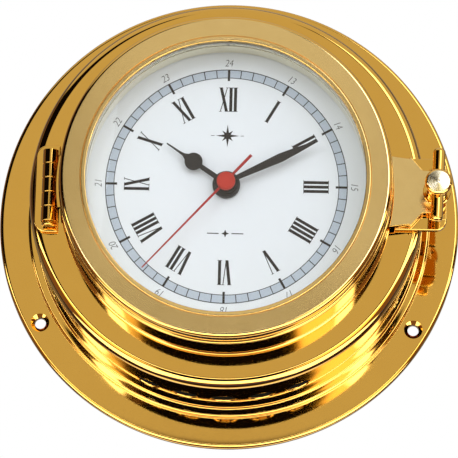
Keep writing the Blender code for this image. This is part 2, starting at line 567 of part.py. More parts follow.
def build_electrics():
    cell_z, cell_depth = -24.0, 43.0
    outline = [(0.0, -24.6), (6.6, -24.6), (7.1, -24.1), (7.1, 22.9), (6.6, 23.4), (2.7, 23.4), (2.7, 24.6),
               (0.0, 24.6)]
    turned("battery_cell", outline, cell_jacket(), "x", (0.0, cell_depth, cell_z), 20)
    for side, name in ((-1, "negative_contact"), (1, "positive_contact")):
        low, high = sorted((side * 25.0, side * 25.5))
        box(name, (low, cell_depth - 5.0, -29.0), (high, cell_depth + 5.0, -19.0), steel())
    box("circuit_board", (-26.0, 33.6, -14.2), (-2.0, 34.4, 19.8), green_board())
    rod("quartz_crystal", 1.0, -3.0, 3.0, steel(), "x", (-17.0, 35.8, -11.5), 12)
    coil_x, coil_depth = 22.6, 39.0
    rod("coil_core", 1.2, -11.0, 8.9, steel(), "z", (coil_x, coil_depth, 0.0), 12)
    outline = [(1.5, -9.5), (3.3, -9.5), (3.3, 7.0), (1.5, 7.0)]
    turned("coil", outline, copper(), "z", (coil_x, coil_depth, 0.0), 20)
    stator = box("stator", (9.6, 38.4, 9.2), (26.0, 39.6, 18.5), steel())
    cut(stator, rod("rotor_cutter", 3.8, 30.0, 45.0, steel(), "depth", (ROTOR_PLACE[0], 0.0, ROTOR_PLACE[1]), 20))


def main():
    clear_scene()
    build_case()
    build_side_screws()
    build_dial_side()
    build_bezel()
    build_hinge()
    build_latch_lug()
    build_latch_bracket()
    build_swing_bolt()
    build_dog_nut()
    build_hands()
    build_train()
    build_movement_case()
    build_electrics()


main()
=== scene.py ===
import math

import bmesh
import bpy
import numpy as np
from mathutils import Matrix, Vector


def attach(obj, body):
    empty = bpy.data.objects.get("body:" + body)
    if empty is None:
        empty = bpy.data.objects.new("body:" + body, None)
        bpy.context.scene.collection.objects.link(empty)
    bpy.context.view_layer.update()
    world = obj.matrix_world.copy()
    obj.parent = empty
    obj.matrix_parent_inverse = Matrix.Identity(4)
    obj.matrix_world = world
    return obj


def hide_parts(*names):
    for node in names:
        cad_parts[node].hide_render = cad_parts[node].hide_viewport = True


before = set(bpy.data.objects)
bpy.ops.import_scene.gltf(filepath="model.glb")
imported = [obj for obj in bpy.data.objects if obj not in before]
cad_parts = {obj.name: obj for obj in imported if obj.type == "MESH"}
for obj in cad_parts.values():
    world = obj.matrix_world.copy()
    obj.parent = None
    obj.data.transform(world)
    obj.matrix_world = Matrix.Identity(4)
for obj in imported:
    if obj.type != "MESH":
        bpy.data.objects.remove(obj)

bl_info = {
    "name": "Ships Deck Clock",
    "version": (1, 0, 0),
    "blender": (4, 5, 0),
    "location": "View3D > Sidebar > Deck Clock",
    "description": "Builds the visible pieces, materials and stage of a brass bulkhead clock",
    "category": "Add Mesh",
}

MM = 0.001
COLUMNS = 450                    # columns of a full turn on the large turned pieces
SMALL_COLUMNS = 64               # the same for screws, nuts and pins
SHARP_DEG = 32.0                 # edges sharper than this stay crisp
WELD_MM = 0.0004
LEVEL_WEIGHT = 100               # how strongly the large faces set the shading
INK_LIFT = 0.02                  # how far printing stands above what it is printed on, mm

# Sizes of the clock in mm. A depth is measured forwards from the wall plane.
DIAL_FRONT = 56.5
BEZEL_FACE = 73.0
HINGE_X, HINGE_DEPTH = -66.7, 52.6
LATCH_X, LATCH_PIVOT_DEPTH = 79.0, 48.0
CROSS_BAR_DEPTH = 63.6
CROSS_BAR_LEAN = 2.0
SIDE_SCREW_ANGLES = (90.0, 210.0, 330.0)
SIDE_SCREW_DEPTH = 28.0
FLANGE_HOLE_RING = 83.8
FLANGE_HOLE_R, FLANGE_SINK_R = 2.2, 3.7
LUG_HALF_ANGLE = 12.8
SOUND_HOLE_R, SOUND_HOLE_DEPTH, SOUND_HOLE_STEP = 4.75, 25.0, 11.2

CLOCK = (Vector((0, 0, 0)), Vector((0, -1, 0)), Vector((1, 0, 0)))


# ---------------------------------------------------------------- settings

def size(name, default, description, low=0.0, high=500.0):
    """A length in millimetres shown in the panel."""
    return bpy.props.FloatProperty(name=name, default=default, description=description + ", mm",
                                   min=low, max=high, precision=2)


def colour(name, hexadecimal, description):
    """A colour shown in the panel."""
    return bpy.props.FloatVectorProperty(name=name, description=description, subtype="COLOR",
                                         size=4, min=0.0, max=1.0, default=srgb(hexadecimal))


def srgb(hexadecimal):
    """An sRGB hex colour as linear red, green, blue and alpha."""
    parts = np.array([int(hexadecimal[i:i + 2], 16) for i in (0, 2, 4)]) / 255.0
    linear = np.where(parts <= 0.04045, parts / 12.92, ((parts + 0.055) / 1.055) ** 2.4)
    return (*(float(v) for v in linear), 1.0)


class BrassSettings(bpy.types.PropertyGroup):
    """Colours and finish of the brass."""
    polished: colour("Polished brass", "E7B64B", "Base colour of the lacquered mirror finish")
    satin: colour("Satin brass", "F3D694", "Base colour of the turned satin faces")
    gilt: colour("Pale gilt", "FBF4D8", "Base colour of the reflector ring")
    polish_roughness: bpy.props.FloatProperty(name="Polish roughness", default=0.05, min=0.0, max=1.0,
                                              description="Roughness of the mirror finish")
    satin_roughness: bpy.props.FloatProperty(name="Satin roughness", default=0.12, min=0.0, max=1.0,
                                             description="Roughness of the turned satin faces")


class DialSettings(bpy.types.PropertyGroup):
    """Dial, printing and track."""
    paint: colour("Dial paint", "F4F8FC", "White enamel of the dial")
    ink: colour("Ink", "1B1315", "Roman numerals and five-minute strokes")
    fine_ink: colour("Fine ink", "33373D", "Thin lines of the minute track")
    track: colour("Track", "BCC6D2", "Fill of the minute track")
    hours_24: colour("24-hour figures", "44474B", "Small outer figures")
    track_outer: size("Track outer radius", 45.35, "Outer edge of the minute track")
    track_inner: size("Track inner radius", 42.2, "Inner edge of the minute track")
    tick_inner: size("Tick inner radius", 41.0, "Inner end of the five-minute strokes")
    numeral_outer: size("Numeral outer radius", 38.4, "Outer edge of the Roman numerals")
    numeral_inner: size("Numeral inner radius", 28.9, "Inner edge of the Roman numerals")
    figure_radius: size("24-hour radius", 46.75, "Foot of the small outer figures")
    figure_height: size("24-hour height", 2.75, "Height of the small outer figures")


class HandSettings(bpy.types.PropertyGroup):
    """Hands."""
    black: colour("Black hands", "161012", "Lacquer of the hour and minute hands")
    red: colour("Seconds hand", "A81E1C", "Lacquer of the seconds hand")
    cap: colour("Seconds cap", "C02A18", "Moulded cap of the seconds hand")
    hour_angle: bpy.props.FloatProperty(name="Hour hand", default=304.0,
                                        description="Degrees clockwise from 12")
    minute_angle: bpy.props.FloatProperty(name="Minute hand", default=63.8,
                                          description="Degrees clockwise from 12")
    second_angle: bpy.props.FloatProperty(name="Seconds hand", default=222.0,
                                          description="Degrees clockwise from 12")


class StageSettings(bpy.types.PropertyGroup):
    """Camera, lamps and floor."""
    lens: bpy.props.FloatProperty(name="Lens", default=235.8,
                                  description="Focal length on a 36 mm sensor, mm")
    distance: bpy.props.FloatProperty(name="Distance", default=1.18, unit="LENGTH",
                                      description="Camera to the flange's centre")
    below: bpy.props.FloatProperty(name="Degrees below", default=14.6,
                                   description="How far the camera is under the axis")
    aside: bpy.props.FloatProperty(name="Degrees aside", default=1.4,
                                   description="How far the camera is to the right")
    aim: size("Aim below centre", 1.85, "How far under the flange's centre the camera aims")
    roll: bpy.props.FloatProperty(name="Roll", default=1.4, description="Degrees the clock leans clockwise")
    floor: colour("Floor", "E9E9E6", "Plain floor")
    key_watts: bpy.props.FloatProperty(name="Key lamp", default=3.0,
                                       description="Power of the large front lamp, W")
    fill_watts: bpy.props.FloatProperty(name="Fill lamp", default=1.2,
                                        description="Power of the fill lamp, W")


# ---------------------------------------------------------------- outlines

def arc(centre_r, centre_d, radius, start, end, steps=8):
    """Points on a circular arc of an outline: the centre plus the radius times cosine and sine."""
    angle = np.radians(np.linspace(start, end, steps + 1))
    return np.stack((centre_r + radius * np.cos(angle), centre_d + radius * np.sin(angle)), -1)


def outline(*parts):
    """Points and arcs one after another, without repeats, as one run of points."""
    run = np.concatenate([np.atleast_2d(np.asarray(p, float)) for p in parts])
    keep = np.ones(len(run), bool)
    keep[1:] = np.linalg.norm(np.diff(run, axis=0), axis=1) > 1e-4
    return run[keep]


def stretch(start, end, steps):
    """Evenly spaced points from one point of an outline to another."""
    return np.linspace(start, end, steps + 1)


def rounded(points, radii, steps=6):
    """A closed polygon with each corner turned into an arc that touches both of its sides."""
    points = np.asarray(points, float)
    run = []
    for i, radius in enumerate(np.broadcast_to(radii, len(points))):
        here = points[i]
        back = points[i - 1] - here
        ahead = points[(i + 1) % len(points)] - here
        back /= np.linalg.norm(back)
        ahead /= np.linalg.norm(ahead)
        if radius <= 0:
            run.append(here[None])
            continue
        half = math.acos(np.clip(back @ ahead, -1, 1)) / 2
        centre = here + (back + ahead) / np.linalg.norm(back + ahead) * radius / math.sin(half)
        first = here + back * radius / math.tan(half) - centre
        last = here + ahead * radius / math.tan(half) - centre
        turn = math.atan2(first[0] * last[1] - first[1] * last[0], first @ last)
        angle = math.atan2(first[1], first[0]) + turn * np.linspace(0, 1, steps + 1)
        run.append(centre + radius * np.stack((np.cos(angle), np.sin(angle)), -1))
    return np.concatenate(run)


# ---------------------------------------------------------------- surfaces

def grid_faces(rows, columns, close_rows, close_columns):
    """Four-sided faces of a grid of points, closed round in either direction where asked."""
    r = np.arange(rows if close_rows else rows - 1)[:, None]
    c = np.arange(columns if close_columns else columns - 1)[None, :]
    r2, c2 = (r + 1) % rows, (c + 1) % columns
    corners = [r * columns + c, r * columns + c2, r2 * columns + c2, r2 * columns + c]
    return np.stack(np.broadcast_arrays(*corners), -1).reshape(-1, 4)


def lathe(run, axis=CLOCK, columns=COLUMNS, closed=True, origin=0.0):
    """A turned surface. Each outline point (radius, along) goes round the axis: the place is the
    foot, plus along times the axis, plus radius times the cosine of the angle on one
    cross direction and its sine on the other. Lengths are in mm; origin is the axis's zero."""
    foot, direction, across = axis
    other = across.cross(direction)
    angle = np.linspace(0, 2 * math.pi, columns, endpoint=False) + math.pi / columns * 0
    radius, along = run[:, 0, None], run[:, 1, None] - origin
    points = (np.array(foot)[None, None] / MM + along[..., None] * np.array(direction)
              + (radius * np.cos(angle))[..., None] * np.array(across)
              + (radius * np.sin(angle))[..., None] * np.array(other))
    return points.reshape(-1, 3), grid_faces(len(run), columns, closed, True)


def plate(loop, low, high, edge=0.3, steps=3):
    """A flat plate with rounded edges. The loop (x, z) is the outline; each row of the side is
    the loop moved in along its own normals by the edge radius times one minus the sine
    of an angle, at a depth that follows one minus the cosine."""
    loop = np.asarray(loop, float)
    area = np.sum(loop[:, 0] * np.roll(loop[:, 1], -1) - np.roll(loop[:, 0], -1) * loop[:, 1])
    if area < 0:
        loop = loop[::-1]
    side = np.roll(loop, -1, 0) - loop
    side /= np.linalg.norm(side, axis=1, keepdims=True)
    normal = np.stack((side[:, 1], -side[:, 0]), -1)
    mitre = normal + np.roll(normal, 1, 0)
    mitre /= np.maximum(np.sum(mitre * mitre, 1, keepdims=True) / 2, 0.35)
    swing = np.radians(np.linspace(0, 90, steps + 1))
    inset = edge * (1 - np.sin(swing))
    rise = edge * (1 - np.cos(swing))
    insets = np.concatenate((inset, inset[::-1]))
    depths = np.concatenate((low + rise, high - rise[::-1]))
    rows = loop[None] - mitre[None] * insets[:, None, None]
    points = np.stack((rows[..., 0], np.broadcast_to(-depths[:, None], rows.shape[:2]), rows[..., 1]), -1)
    count = len(loop)
    faces = list(grid_faces(len(insets), count, False, True))
    faces.append(np.arange(count)[::-1])
    faces.append(np.arange(count) + (len(insets) - 1) * count)
    return points.reshape(-1, 3), faces


def turn_about(shape, angle, centre=(0.0, 0.0)):
    """A shape turned clockwise, as seen from the front, about a line along the depth."""
    points, faces = shape
    swing = -math.radians(angle)
    x, z = points[:, 0] - centre[0], points[:, 2] - centre[1]
    turned = np.stack((x * math.cos(swing) - z * math.sin(swing) + centre[0], points[:, 1],
                       x * math.sin(swing) + z * math.cos(swing) + centre[1]), -1)
    return turned, faces


def make_mesh(name, shapes, sharp=SHARP_DEG, outward=True):
    """One mesh object from several shapes, with its seams and poles welded and its faces outward."""
    points = np.concatenate([s[0] for s in shapes])
    faces, start = [], 0
    for places, shape_faces in shapes:
        faces += [[int(i) + start for i in f] for f in shape_faces]
        start += len(places)
    data = bpy.data.meshes.new(name)
    data.from_pydata((points * MM).tolist(), [], faces)
    work = bmesh.new()
    work.from_mesh(data)
    bmesh.ops.remove_doubles(work, verts=work.verts, dist=WELD_MM * MM)
    if outward:
        bmesh.ops.recalc_face_normals(work, faces=work.faces)
    work.to_mesh(data)
    work.free()
    piece = bpy.data.objects.new(name, data)
    bpy.context.scene.collection.objects.link(piece)
    smooth(piece, sharp)
    return piece


def smooth(piece, sharp=SHARP_DEG):
    """Smooth shading that keeps the sharp edges."""
    data = piece.data
    data.polygons.foreach_set("use_smooth", np.ones(len(data.polygons), bool))
    data.set_sharp_from_angle(angle=math.radians(sharp))
    data.update()


def carve(piece, shapes, sharp=SHARP_DEG):
    """Takes the closed shapes out of the piece and keeps the result as its mesh."""
    cutter = make_mesh("cutter", shapes)
    cut = piece.modifiers.new("cut", "BOOLEAN")
    cut.operation = "DIFFERENCE"
    cut.solver = "EXACT"
    cut.object = cutter
    bpy.context.view_layer.update()
    seen = piece.evaluated_get(bpy.context.evaluated_depsgraph_get())
    result = bpy.data.meshes.new_from_object(seen)
    piece.modifiers.remove(cut)
    if len(result.polygons) < len(piece.data.polygons) // 2:
        raise RuntimeError(piece.name + " lost its faces in the cut")
    piece.data = result
    bpy.data.objects.remove(cutter)
    smooth(piece, sharp)


def dress(piece, body, materials, nodes=(), where=None):
    """Materials, body and the CAD nodes a piece stands for."""
    piece.data.materials.clear()
    for material in materials:
        piece.data.materials.append(material)
    if where is not None:
        data = piece.data
        centre = np.empty(len(data.polygons) * 3, np.float32)
        normal = np.empty(len(data.polygons) * 3, np.float32)
        data.polygons.foreach_get("center", centre)
        data.polygons.foreach_get("normal", normal)
        index = where(centre.reshape(-1, 3) / MM, normal.reshape(-1, 3))
        data.polygons.foreach_set("material_index", np.asarray(index, np.int32))
        data.update()
    else:
        piece.data.polygons.foreach_set("material_index", np.zeros(len(piece.data.polygons), np.int32))
    level = piece.modifiers.new("level_faces", "WEIGHTED_NORMAL")
    level.weight = LEVEL_WEIGHT
    level.keep_sharp = True
    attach(piece, body)
    if nodes:
        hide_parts(*nodes)
    return piece


def node_axis(foot, direction, across=(0, 0, 1)):
    """An axis for lathe(), from its foot in mm, its direction and a cross direction."""
    direction = Vector(direction).normalized()
    across = Vector(across) - Vector(across).dot(direction) * direction
    return Vector(foot) * MM, direction, across.normalized()


# ---------------------------------------------------------------- materials

class Shader:
    """A new material and the few calls that build its node tree."""

    def __init__(self, name):
        self.material = bpy.data.materials.new(name)
        self.material.use_nodes = True
        self.tree = self.material.node_tree
        self.tree.nodes.clear()
        self.out = self.tree.nodes.new("ShaderNodeOutputMaterial")
        self.surface = self.tree.nodes.new("ShaderNodeBsdfPrincipled")
        self.tree.links.new(self.surface.outputs[0], self.out.inputs["Surface"])
        self.place = self.tree.nodes.new("ShaderNodeTexCoord").outputs["Object"]

    def node(self, kind, settings=None, **links):
        """Adds a node; settings are its own attributes, links are sockets or values by input name."""
        return add_node(self.tree, kind, settings, **links)

    def set(self, **values):
        """Sets sockets of the Principled shader, by name with underscores for spaces."""
        join(self.tree, self.surface, values)
        return self

    def noise(self, period_mm, detail=3.0, roughness=0.55, place=None):
        """A noise between 0 and 1 with a real period in millimetres."""
        return self.node("ShaderNodeTexNoise", Vector=place or self.place, Scale=1000.0 / period_mm,
                         Detail=detail, Roughness=roughness).outputs["Fac"]

    def ramp(self, value, low, high, out_low, out_high):
        """A value carried from one span to another."""
        return self.node("ShaderNodeMapRange", Value=value, From_Min=low, From_Max=high,
                         To_Min=out_low, To_Max=out_high).outputs["Result"]

    def math(self, operation, *values):
        """A maths node on one to three values."""
        made = self.node("ShaderNodeMath", {"operation": operation})
        for socket, value in zip(made.inputs, values):
            feed(self.tree, socket, value)
        return made.outputs[0]

    def tint(self, value, dark, light):
        """A colour between two, by a value from 0 to 1."""
        made = self.node("ShaderNodeMix", {"data_type": "RGBA"})
        feed(self.tree, made.inputs[0], value)
        feed(self.tree, made.inputs[6], dark)
        feed(self.tree, made.inputs[7], light)
        return made.outputs[2]

    def bump(self, height, distance_mm, strength=1.0):
        """A bump whose full height is the given distance."""
        made = self.node("ShaderNodeBump", Height=height, Distance=distance_mm * MM, Strength=strength)
        feed(self.tree, self.surface.inputs["Normal"], made.outputs["Normal"])


def feed(tree, socket, value):
    """Links an output to a socket, or sets the socket's own value."""
    if isinstance(value, bpy.types.NodeSocket):
        tree.links.new(value, socket)
    else:
        socket.default_value = value


def join(tree, node, values):
    for name, value in values.items():
        feed(tree, node.inputs[name.replace("_", " ")], value)


def add_node(tree, kind, settings=None, **links):
    """Adds a node with its settings and links."""
    made = tree.nodes.new(kind)
    for name, value in (settings or {}).items():
        setattr(made, name, value)
    join(tree, made, links)
    return made


def maths(tree, operation, *values):
    """A maths node in any tree, on one to three values."""
    made = add_node(tree, "ShaderNodeMath", {"operation": operation})
    for socket, value in zip(made.inputs, values):
        feed(tree, socket, value)
    return made.outputs[0]


def step_at(tree, value, edge, soft, falling=False):
    """A smooth step from 0 to 1 across an edge, or from 1 to 0."""
    return add_node(tree, "ShaderNodeMapRange", {"interpolation_type": "SMOOTHSTEP"}, Value=value,
                    From_Min=edge - soft, From_Max=edge + soft, To_Min=1.0 if falling else 0.0,
                    To_Max=0.0 if falling else 1.0).outputs["Result"]


def radius_from(shader, x_mm, z_mm):
    """Distance in metres from a line along the depth that passes through x and z."""
    shift = shader.node("ShaderNodeVectorMath", {"operation": "SUBTRACT"})
    feed(shader.tree, shift.inputs[0], shader.place)
    shift.inputs[1].default_value = (x_mm * MM, 0, z_mm * MM)
    parts = shader.node("ShaderNodeSeparateXYZ", Vector=shift.outputs[0])
    square_x = shader.math("POWER", parts.outputs["X"], 2.0)
    square_z = shader.math("POWER", parts.outputs["Z"], 2.0)
    return shader.math("SQRT", shader.math("ADD", square_x, square_z))


def grooves(shader, radius, pitch_mm):
    """Turning marks: a sine of the radius, one wave for each pitch."""
    turn = shader.math("MULTIPLY", radius, 2 * math.pi * 1000.0 / pitch_mm)
    return shader.math("SINE", turn)


def polished_brass(settings, name="polished_lacquered_brass", base=None, roughness=None):
    """Machine-polished brass under clear lacquer: a mirror with faint haze from the mop."""
    shader = Shader(name)
    base = base or tuple(settings.polished)
    deeper = tuple(c * f for c, f in zip(base, (0.96, 0.93, 0.86, 1.0)))
    haze = shader.noise(9.0, 4.0)
    fine = shader.noise(0.7, 2.0)
    shine = roughness if roughness is not None else settings.polish_roughness
    shader.set(Base_Color=shader.tint(haze, deeper, base), Metallic=1.0,
               Roughness=shader.ramp(fine, 0.3, 0.7, shine * 0.8, shine * 1.3),
               Coat_Weight=0.8, Coat_Roughness=0.03)
    shader.bump(shader.noise(14.0, 1.0), 0.006)
    return shader.material


def satin_brass(settings, name, centre, pitch=0.32, depth=0.003):
    """Brass faced on a lathe and left satin: fine grooves round the turning centre."""
    shader = Shader(name)
    base = tuple(settings.satin)
    deeper = tuple(c * f for c, f in zip(base, (0.93, 0.9, 0.84, 1.0)))
    radius = radius_from(shader, *centre)
    band = shader.noise(5.0, 3.0)
    rough = settings.satin_roughness
    shader.set(Base_Color=shader.tint(band, deeper, base), Metallic=1.0,
               Roughness=shader.ramp(shader.noise(0.5, 2.0), 0.3, 0.7, rough * 0.85, rough * 1.15))
    shader.bump(grooves(shader, radius, pitch), depth)
    return shader.material


def turned_face(settings, name, centre):
    """Brass faced off in the lathe and left bright: the light draws out across the fine circular marks."""
    shader = Shader(name)
    base = tuple(settings.gilt)
    deeper = tuple(c * f for c, f in zip(base, (0.95, 0.92, 0.86, 1.0)))
    shader.set(Base_Color=shader.tint(shader.noise(3.0), deeper, base), Metallic=1.0,
               Roughness=shader.ramp(shader.noise(0.4), 0.3, 0.7, 0.2, 0.26), Anisotropic=0.9)
    middle = tuple(v * MM for v in (centre[0], 0.0, centre[1]))
    spoke = shader.node("ShaderNodeVectorMath", {"operation": "SUBTRACT"})
    feed(shader.tree, spoke.inputs[0], shader.place)
    feed(shader.tree, spoke.inputs[1], middle)
    ring = shader.node("ShaderNodeVectorMath", {"operation": "CROSS_PRODUCT"})
    feed(shader.tree, ring.inputs[0], spoke.outputs[0])
    feed(shader.tree, ring.inputs[1], (0.0, 1.0, 0.0))
    feed(shader.tree, shader.surface.inputs["Tangent"], ring.outputs[0])
    shader.bump(grooves(shader, radius_from(shader, *centre), 0.3), 0.001)
    return shader.material


def bright_steel(name="bright_steel", base="C9CCCF", roughness=0.22):
    """Turned and plated steel, with fine drawing marks."""
    shader = Shader(name)
    shader.set(Base_Color=shader.tint(shader.noise(2.0), srgb("A9ADB2"), srgb(base)), Metallic=1.0,
               Roughness=shader.ramp(shader.noise(0.4), 0.3, 0.7, roughness * 0.7, roughness * 1.4))
    shader.bump(shader.noise(0.3, 2.0), 0.002)
    return shader.material


def moulded_plastic(name, base, roughness=0.42, grain=0.35, relief=0.012, light=None):
    """Injection-moulded plastic with a fine spark-eroded texture."""
    shader = Shader(name)
    base = srgb(base)
    light = light or tuple(min(1.0, c * 1.25 + 0.004) for c in base[:3]) + (1.0,)
    shader.set(Base_Color=shader.tint(shader.noise(6.0), base, light),
               Roughness=shader.ramp(shader.noise(1.5), 0.3, 0.7, roughness * 0.85, roughness * 1.2),
               Specular_IOR_Level=0.5)
    shader.bump(shader.noise(grain, 2.0), relief)
    return shader.material


def enamel(name, base, roughness=0.32, coat=0.3, gloss=0.5):
    """Sprayed and baked paint with a faint orange peel."""
    shader = Shader(name)
    base = tuple(base)
    deeper = tuple(c * 0.975 for c in base[:3]) + (1.0,)
    shader.set(Base_Color=shader.tint(shader.noise(22.0, 2.0), deeper, base),
               Roughness=shader.ramp(shader.noise(3.0), 0.3, 0.7, roughness * 0.9, roughness * 1.15),
               Coat_Weight=coat, Coat_Roughness=0.12, Specular_IOR_Level=gloss)
    shader.bump(shader.noise(1.6, 1.0), 0.003)
    return shader.material


def ink(name, base):
    """Screen-printed ink, matt, with the mesh's slight unevenness."""
    shader = Shader(name)
    base = tuple(base)
    lighter = tuple(min(1.0, c * 1.2 + 0.006) for c in base[:3]) + (1.0,)
    shader.set(Base_Color=shader.tint(shader.noise(0.9, 3.0), base, lighter), Roughness=0.6,
               Specular_IOR_Level=0.1)
    shader.bump(shader.noise(0.35, 1.0), 0.002)
    return shader.material


def clear_glass():
    """Polished mineral glass. Shadow rays pass, so the lamps light the dial behind it."""
    shader = Shader("clear_mineral_glass")
    wipe = shader.noise(30.0, 2.0)
    shader.set(Base_Color=(0.985, 0.995, 0.99, 1.0), Transmission_Weight=1.0, IOR=1.45,
               Roughness=shader.ramp(wipe, 0.4, 0.7, 0.0, 0.012))
    clear = shader.node("ShaderNodeBsdfTransparent")
    path = shader.node("ShaderNodeLightPath")
    mixed = shader.node("ShaderNodeMixShader")
    feed(shader.tree, mixed.inputs[0], path.outputs["Is Shadow Ray"])
    feed(shader.tree, mixed.inputs[1], shader.surface.outputs[0])
    feed(shader.tree, mixed.inputs[2], clear.outputs[0])
    feed(shader.tree, shader.out.inputs["Surface"], mixed.outputs[0])
    return shader.material


def clear_vinyl():
    """Translucent white vinyl of the glass's gasket."""
    shader = Shader("translucent_vinyl")
    shader.set(Base_Color=shader.tint(shader.noise(3.0), srgb("E8E8E2"), srgb("F4F4F0")), Roughness=0.4,
               Subsurface_Weight=0.2, Subsurface_Radius=(0.001, 0.001, 0.001), Subsurface_Scale=0.5)
    shader.bump(shader.noise(0.8), 0.004)
    return shader.material


def cell_jacket():
    """Printed film round the battery cell: a plain band at each end, on a dark jacket."""
    shader = Shader("battery_film")
    parts = shader.node("ShaderNodeSeparateXYZ", Vector=shader.place)
    band = shader.math("GREATER_THAN", parts.outputs["X"], 0.0135)
    colour_mix = shader.tint(band, srgb("23262C"), srgb("C08A3A"))
    shader.set(Base_Color=colour_mix, Roughness=shader.ramp(shader.noise(2.0), 0.3, 0.7, 0.22, 0.34),
               Coat_Weight=0.5)
    shader.bump(shader.noise(4.0, 1.0), 0.01)
    return shader.material


def circuit_green():
    """Solder mask over copper: broad paths show a little lighter."""
    shader = Shader("green_circuit_board")
    wave = shader.node("ShaderNodeTexWave", {"wave_type": "BANDS", "bands_direction": "DIAGONAL"},
                       Vector=shader.place, Scale=260.0, Distortion=2.0, Detail=1.0)
    path = shader.ramp(wave.outputs["Fac"], 0.45, 0.55, 0.0, 1.0)
    shader.set(Base_Color=shader.tint(path, srgb("1D5A36"), srgb("2F7F4C")), Roughness=0.3,
               Coat_Weight=0.4)
    shader.bump(path, 0.03)
    return shader.material


def copper_wire():
    """Enamelled winding wire, laid turn on turn."""
    shader = Shader("enamelled_copper_wire")
    parts = shader.node("ShaderNodeSeparateXYZ", Vector=shader.place)
    turn = shader.math("SINE", shader.math("MULTIPLY", parts.outputs["Z"], 2 * math.pi * 1000.0 / 0.3))
    shader.set(Base_Color=shader.tint(shader.noise(0.5), srgb("8E4A20"), srgb("C97B45")), Metallic=0.9,
               Roughness=0.3)
    shader.bump(turn, 0.05)
    return shader.material


# ---------------------------------------------------------------- shared by the operators

class Look:
    """The materials, made once from the panel's settings."""
    made = {}

    @classmethod
    def get(cls, name):
        if name not in cls.made:
            cls.made[name] = cls.build(name)
        return cls.made[name]

    @classmethod
    def build(cls, name):
        scene = bpy.context.scene
        brass, dial, hands = scene.clock_brass, scene.clock_dial, scene.clock_hands
        makers = {
            "polished": lambda: polished_brass(brass),
            "gilt": lambda: polished_brass(brass, "pale_gilt_reflector", tuple(brass.gilt), 0.1),
            "satin_face": lambda: satin_brass(brass, "satin_turned_brass", (0.0, 0.0)),
            "satin_lug": lambda: satin_brass(brass, "satin_milled_brass", (0.0, 0.0), 0.4, 0.002),
            "nut_face": lambda: turned_face(brass, "turned_nut_face", (LATCH_X, 0.0)),
            "steel": lambda: bright_steel(),
            "carrier": lambda: moulded_plastic("black_abs", "17171A"),
            # matt black inside the case and in the bores of the holes in its wall: painted shade, standing in
            # for the dark seen through the sound holes; the real finish in there is a guess
            "inside": lambda: moulded_plastic("black_inside_painted_shade", "15130F", 0.6, 0.8, 0.01),
            "paint": lambda: enamel("white_dial_enamel", dial.paint),
            "ink": lambda: ink("black_dial_ink", dial.ink),
            "fine_ink": lambda: ink("grey_line_ink", dial.fine_ink),
            "track": lambda: ink("grey_blue_track_ink", dial.track),
            "hours_24": lambda: ink("grey_figure_ink", dial.hours_24),
            "glass": clear_glass,
            "vinyl": clear_vinyl,
            "black_hand": lambda: enamel("black_hand_lacquer", hands.black, 0.4, 0.05, 0.2),
            "red_hand": lambda: enamel("red_hand_lacquer", hands.red, 0.5, 0.05, 0.2),
            "red_cap": lambda: enamel("red_moulded_cap", hands.cap, 0.5, 0.05, 0.2),
            "film": cell_jacket,
            "board": circuit_green,
            "wire": copper_wire,
            "gears": lambda: moulded_plastic("natural_acetal", "DEDCD2", 0.38, 0.6, 0.006,
                                             srgb("ECEAE2")),
        }
        return makers[name]()


def clock_axis_point(radius, angle, depth):
    """The point at a radius and an angle anticlockwise from 3 o'clock, in mm."""
    swing = math.radians(angle)
    return Vector((radius * math.cos(swing), -depth, radius * math.sin(swing)))


def radial_axis(angle, depth):
    """An axis that runs outwards from the clock's centre line."""
    swing = math.radians(angle)
    direction = (math.cos(swing), 0.0, math.sin(swing))
    return node_axis((0.0, -depth, 0.0), direction, (0.0, -1.0, 0.0))


class PieceOperator:
    """What every operator shares: it builds, and reports a failure instead of hiding it."""
    bl_options = {"REGISTER", "UNDO"}

    def execute(self, context):
        self.build(context.scene)
        return {"FINISHED"}


# ---------------------------------------------------------------- pieces

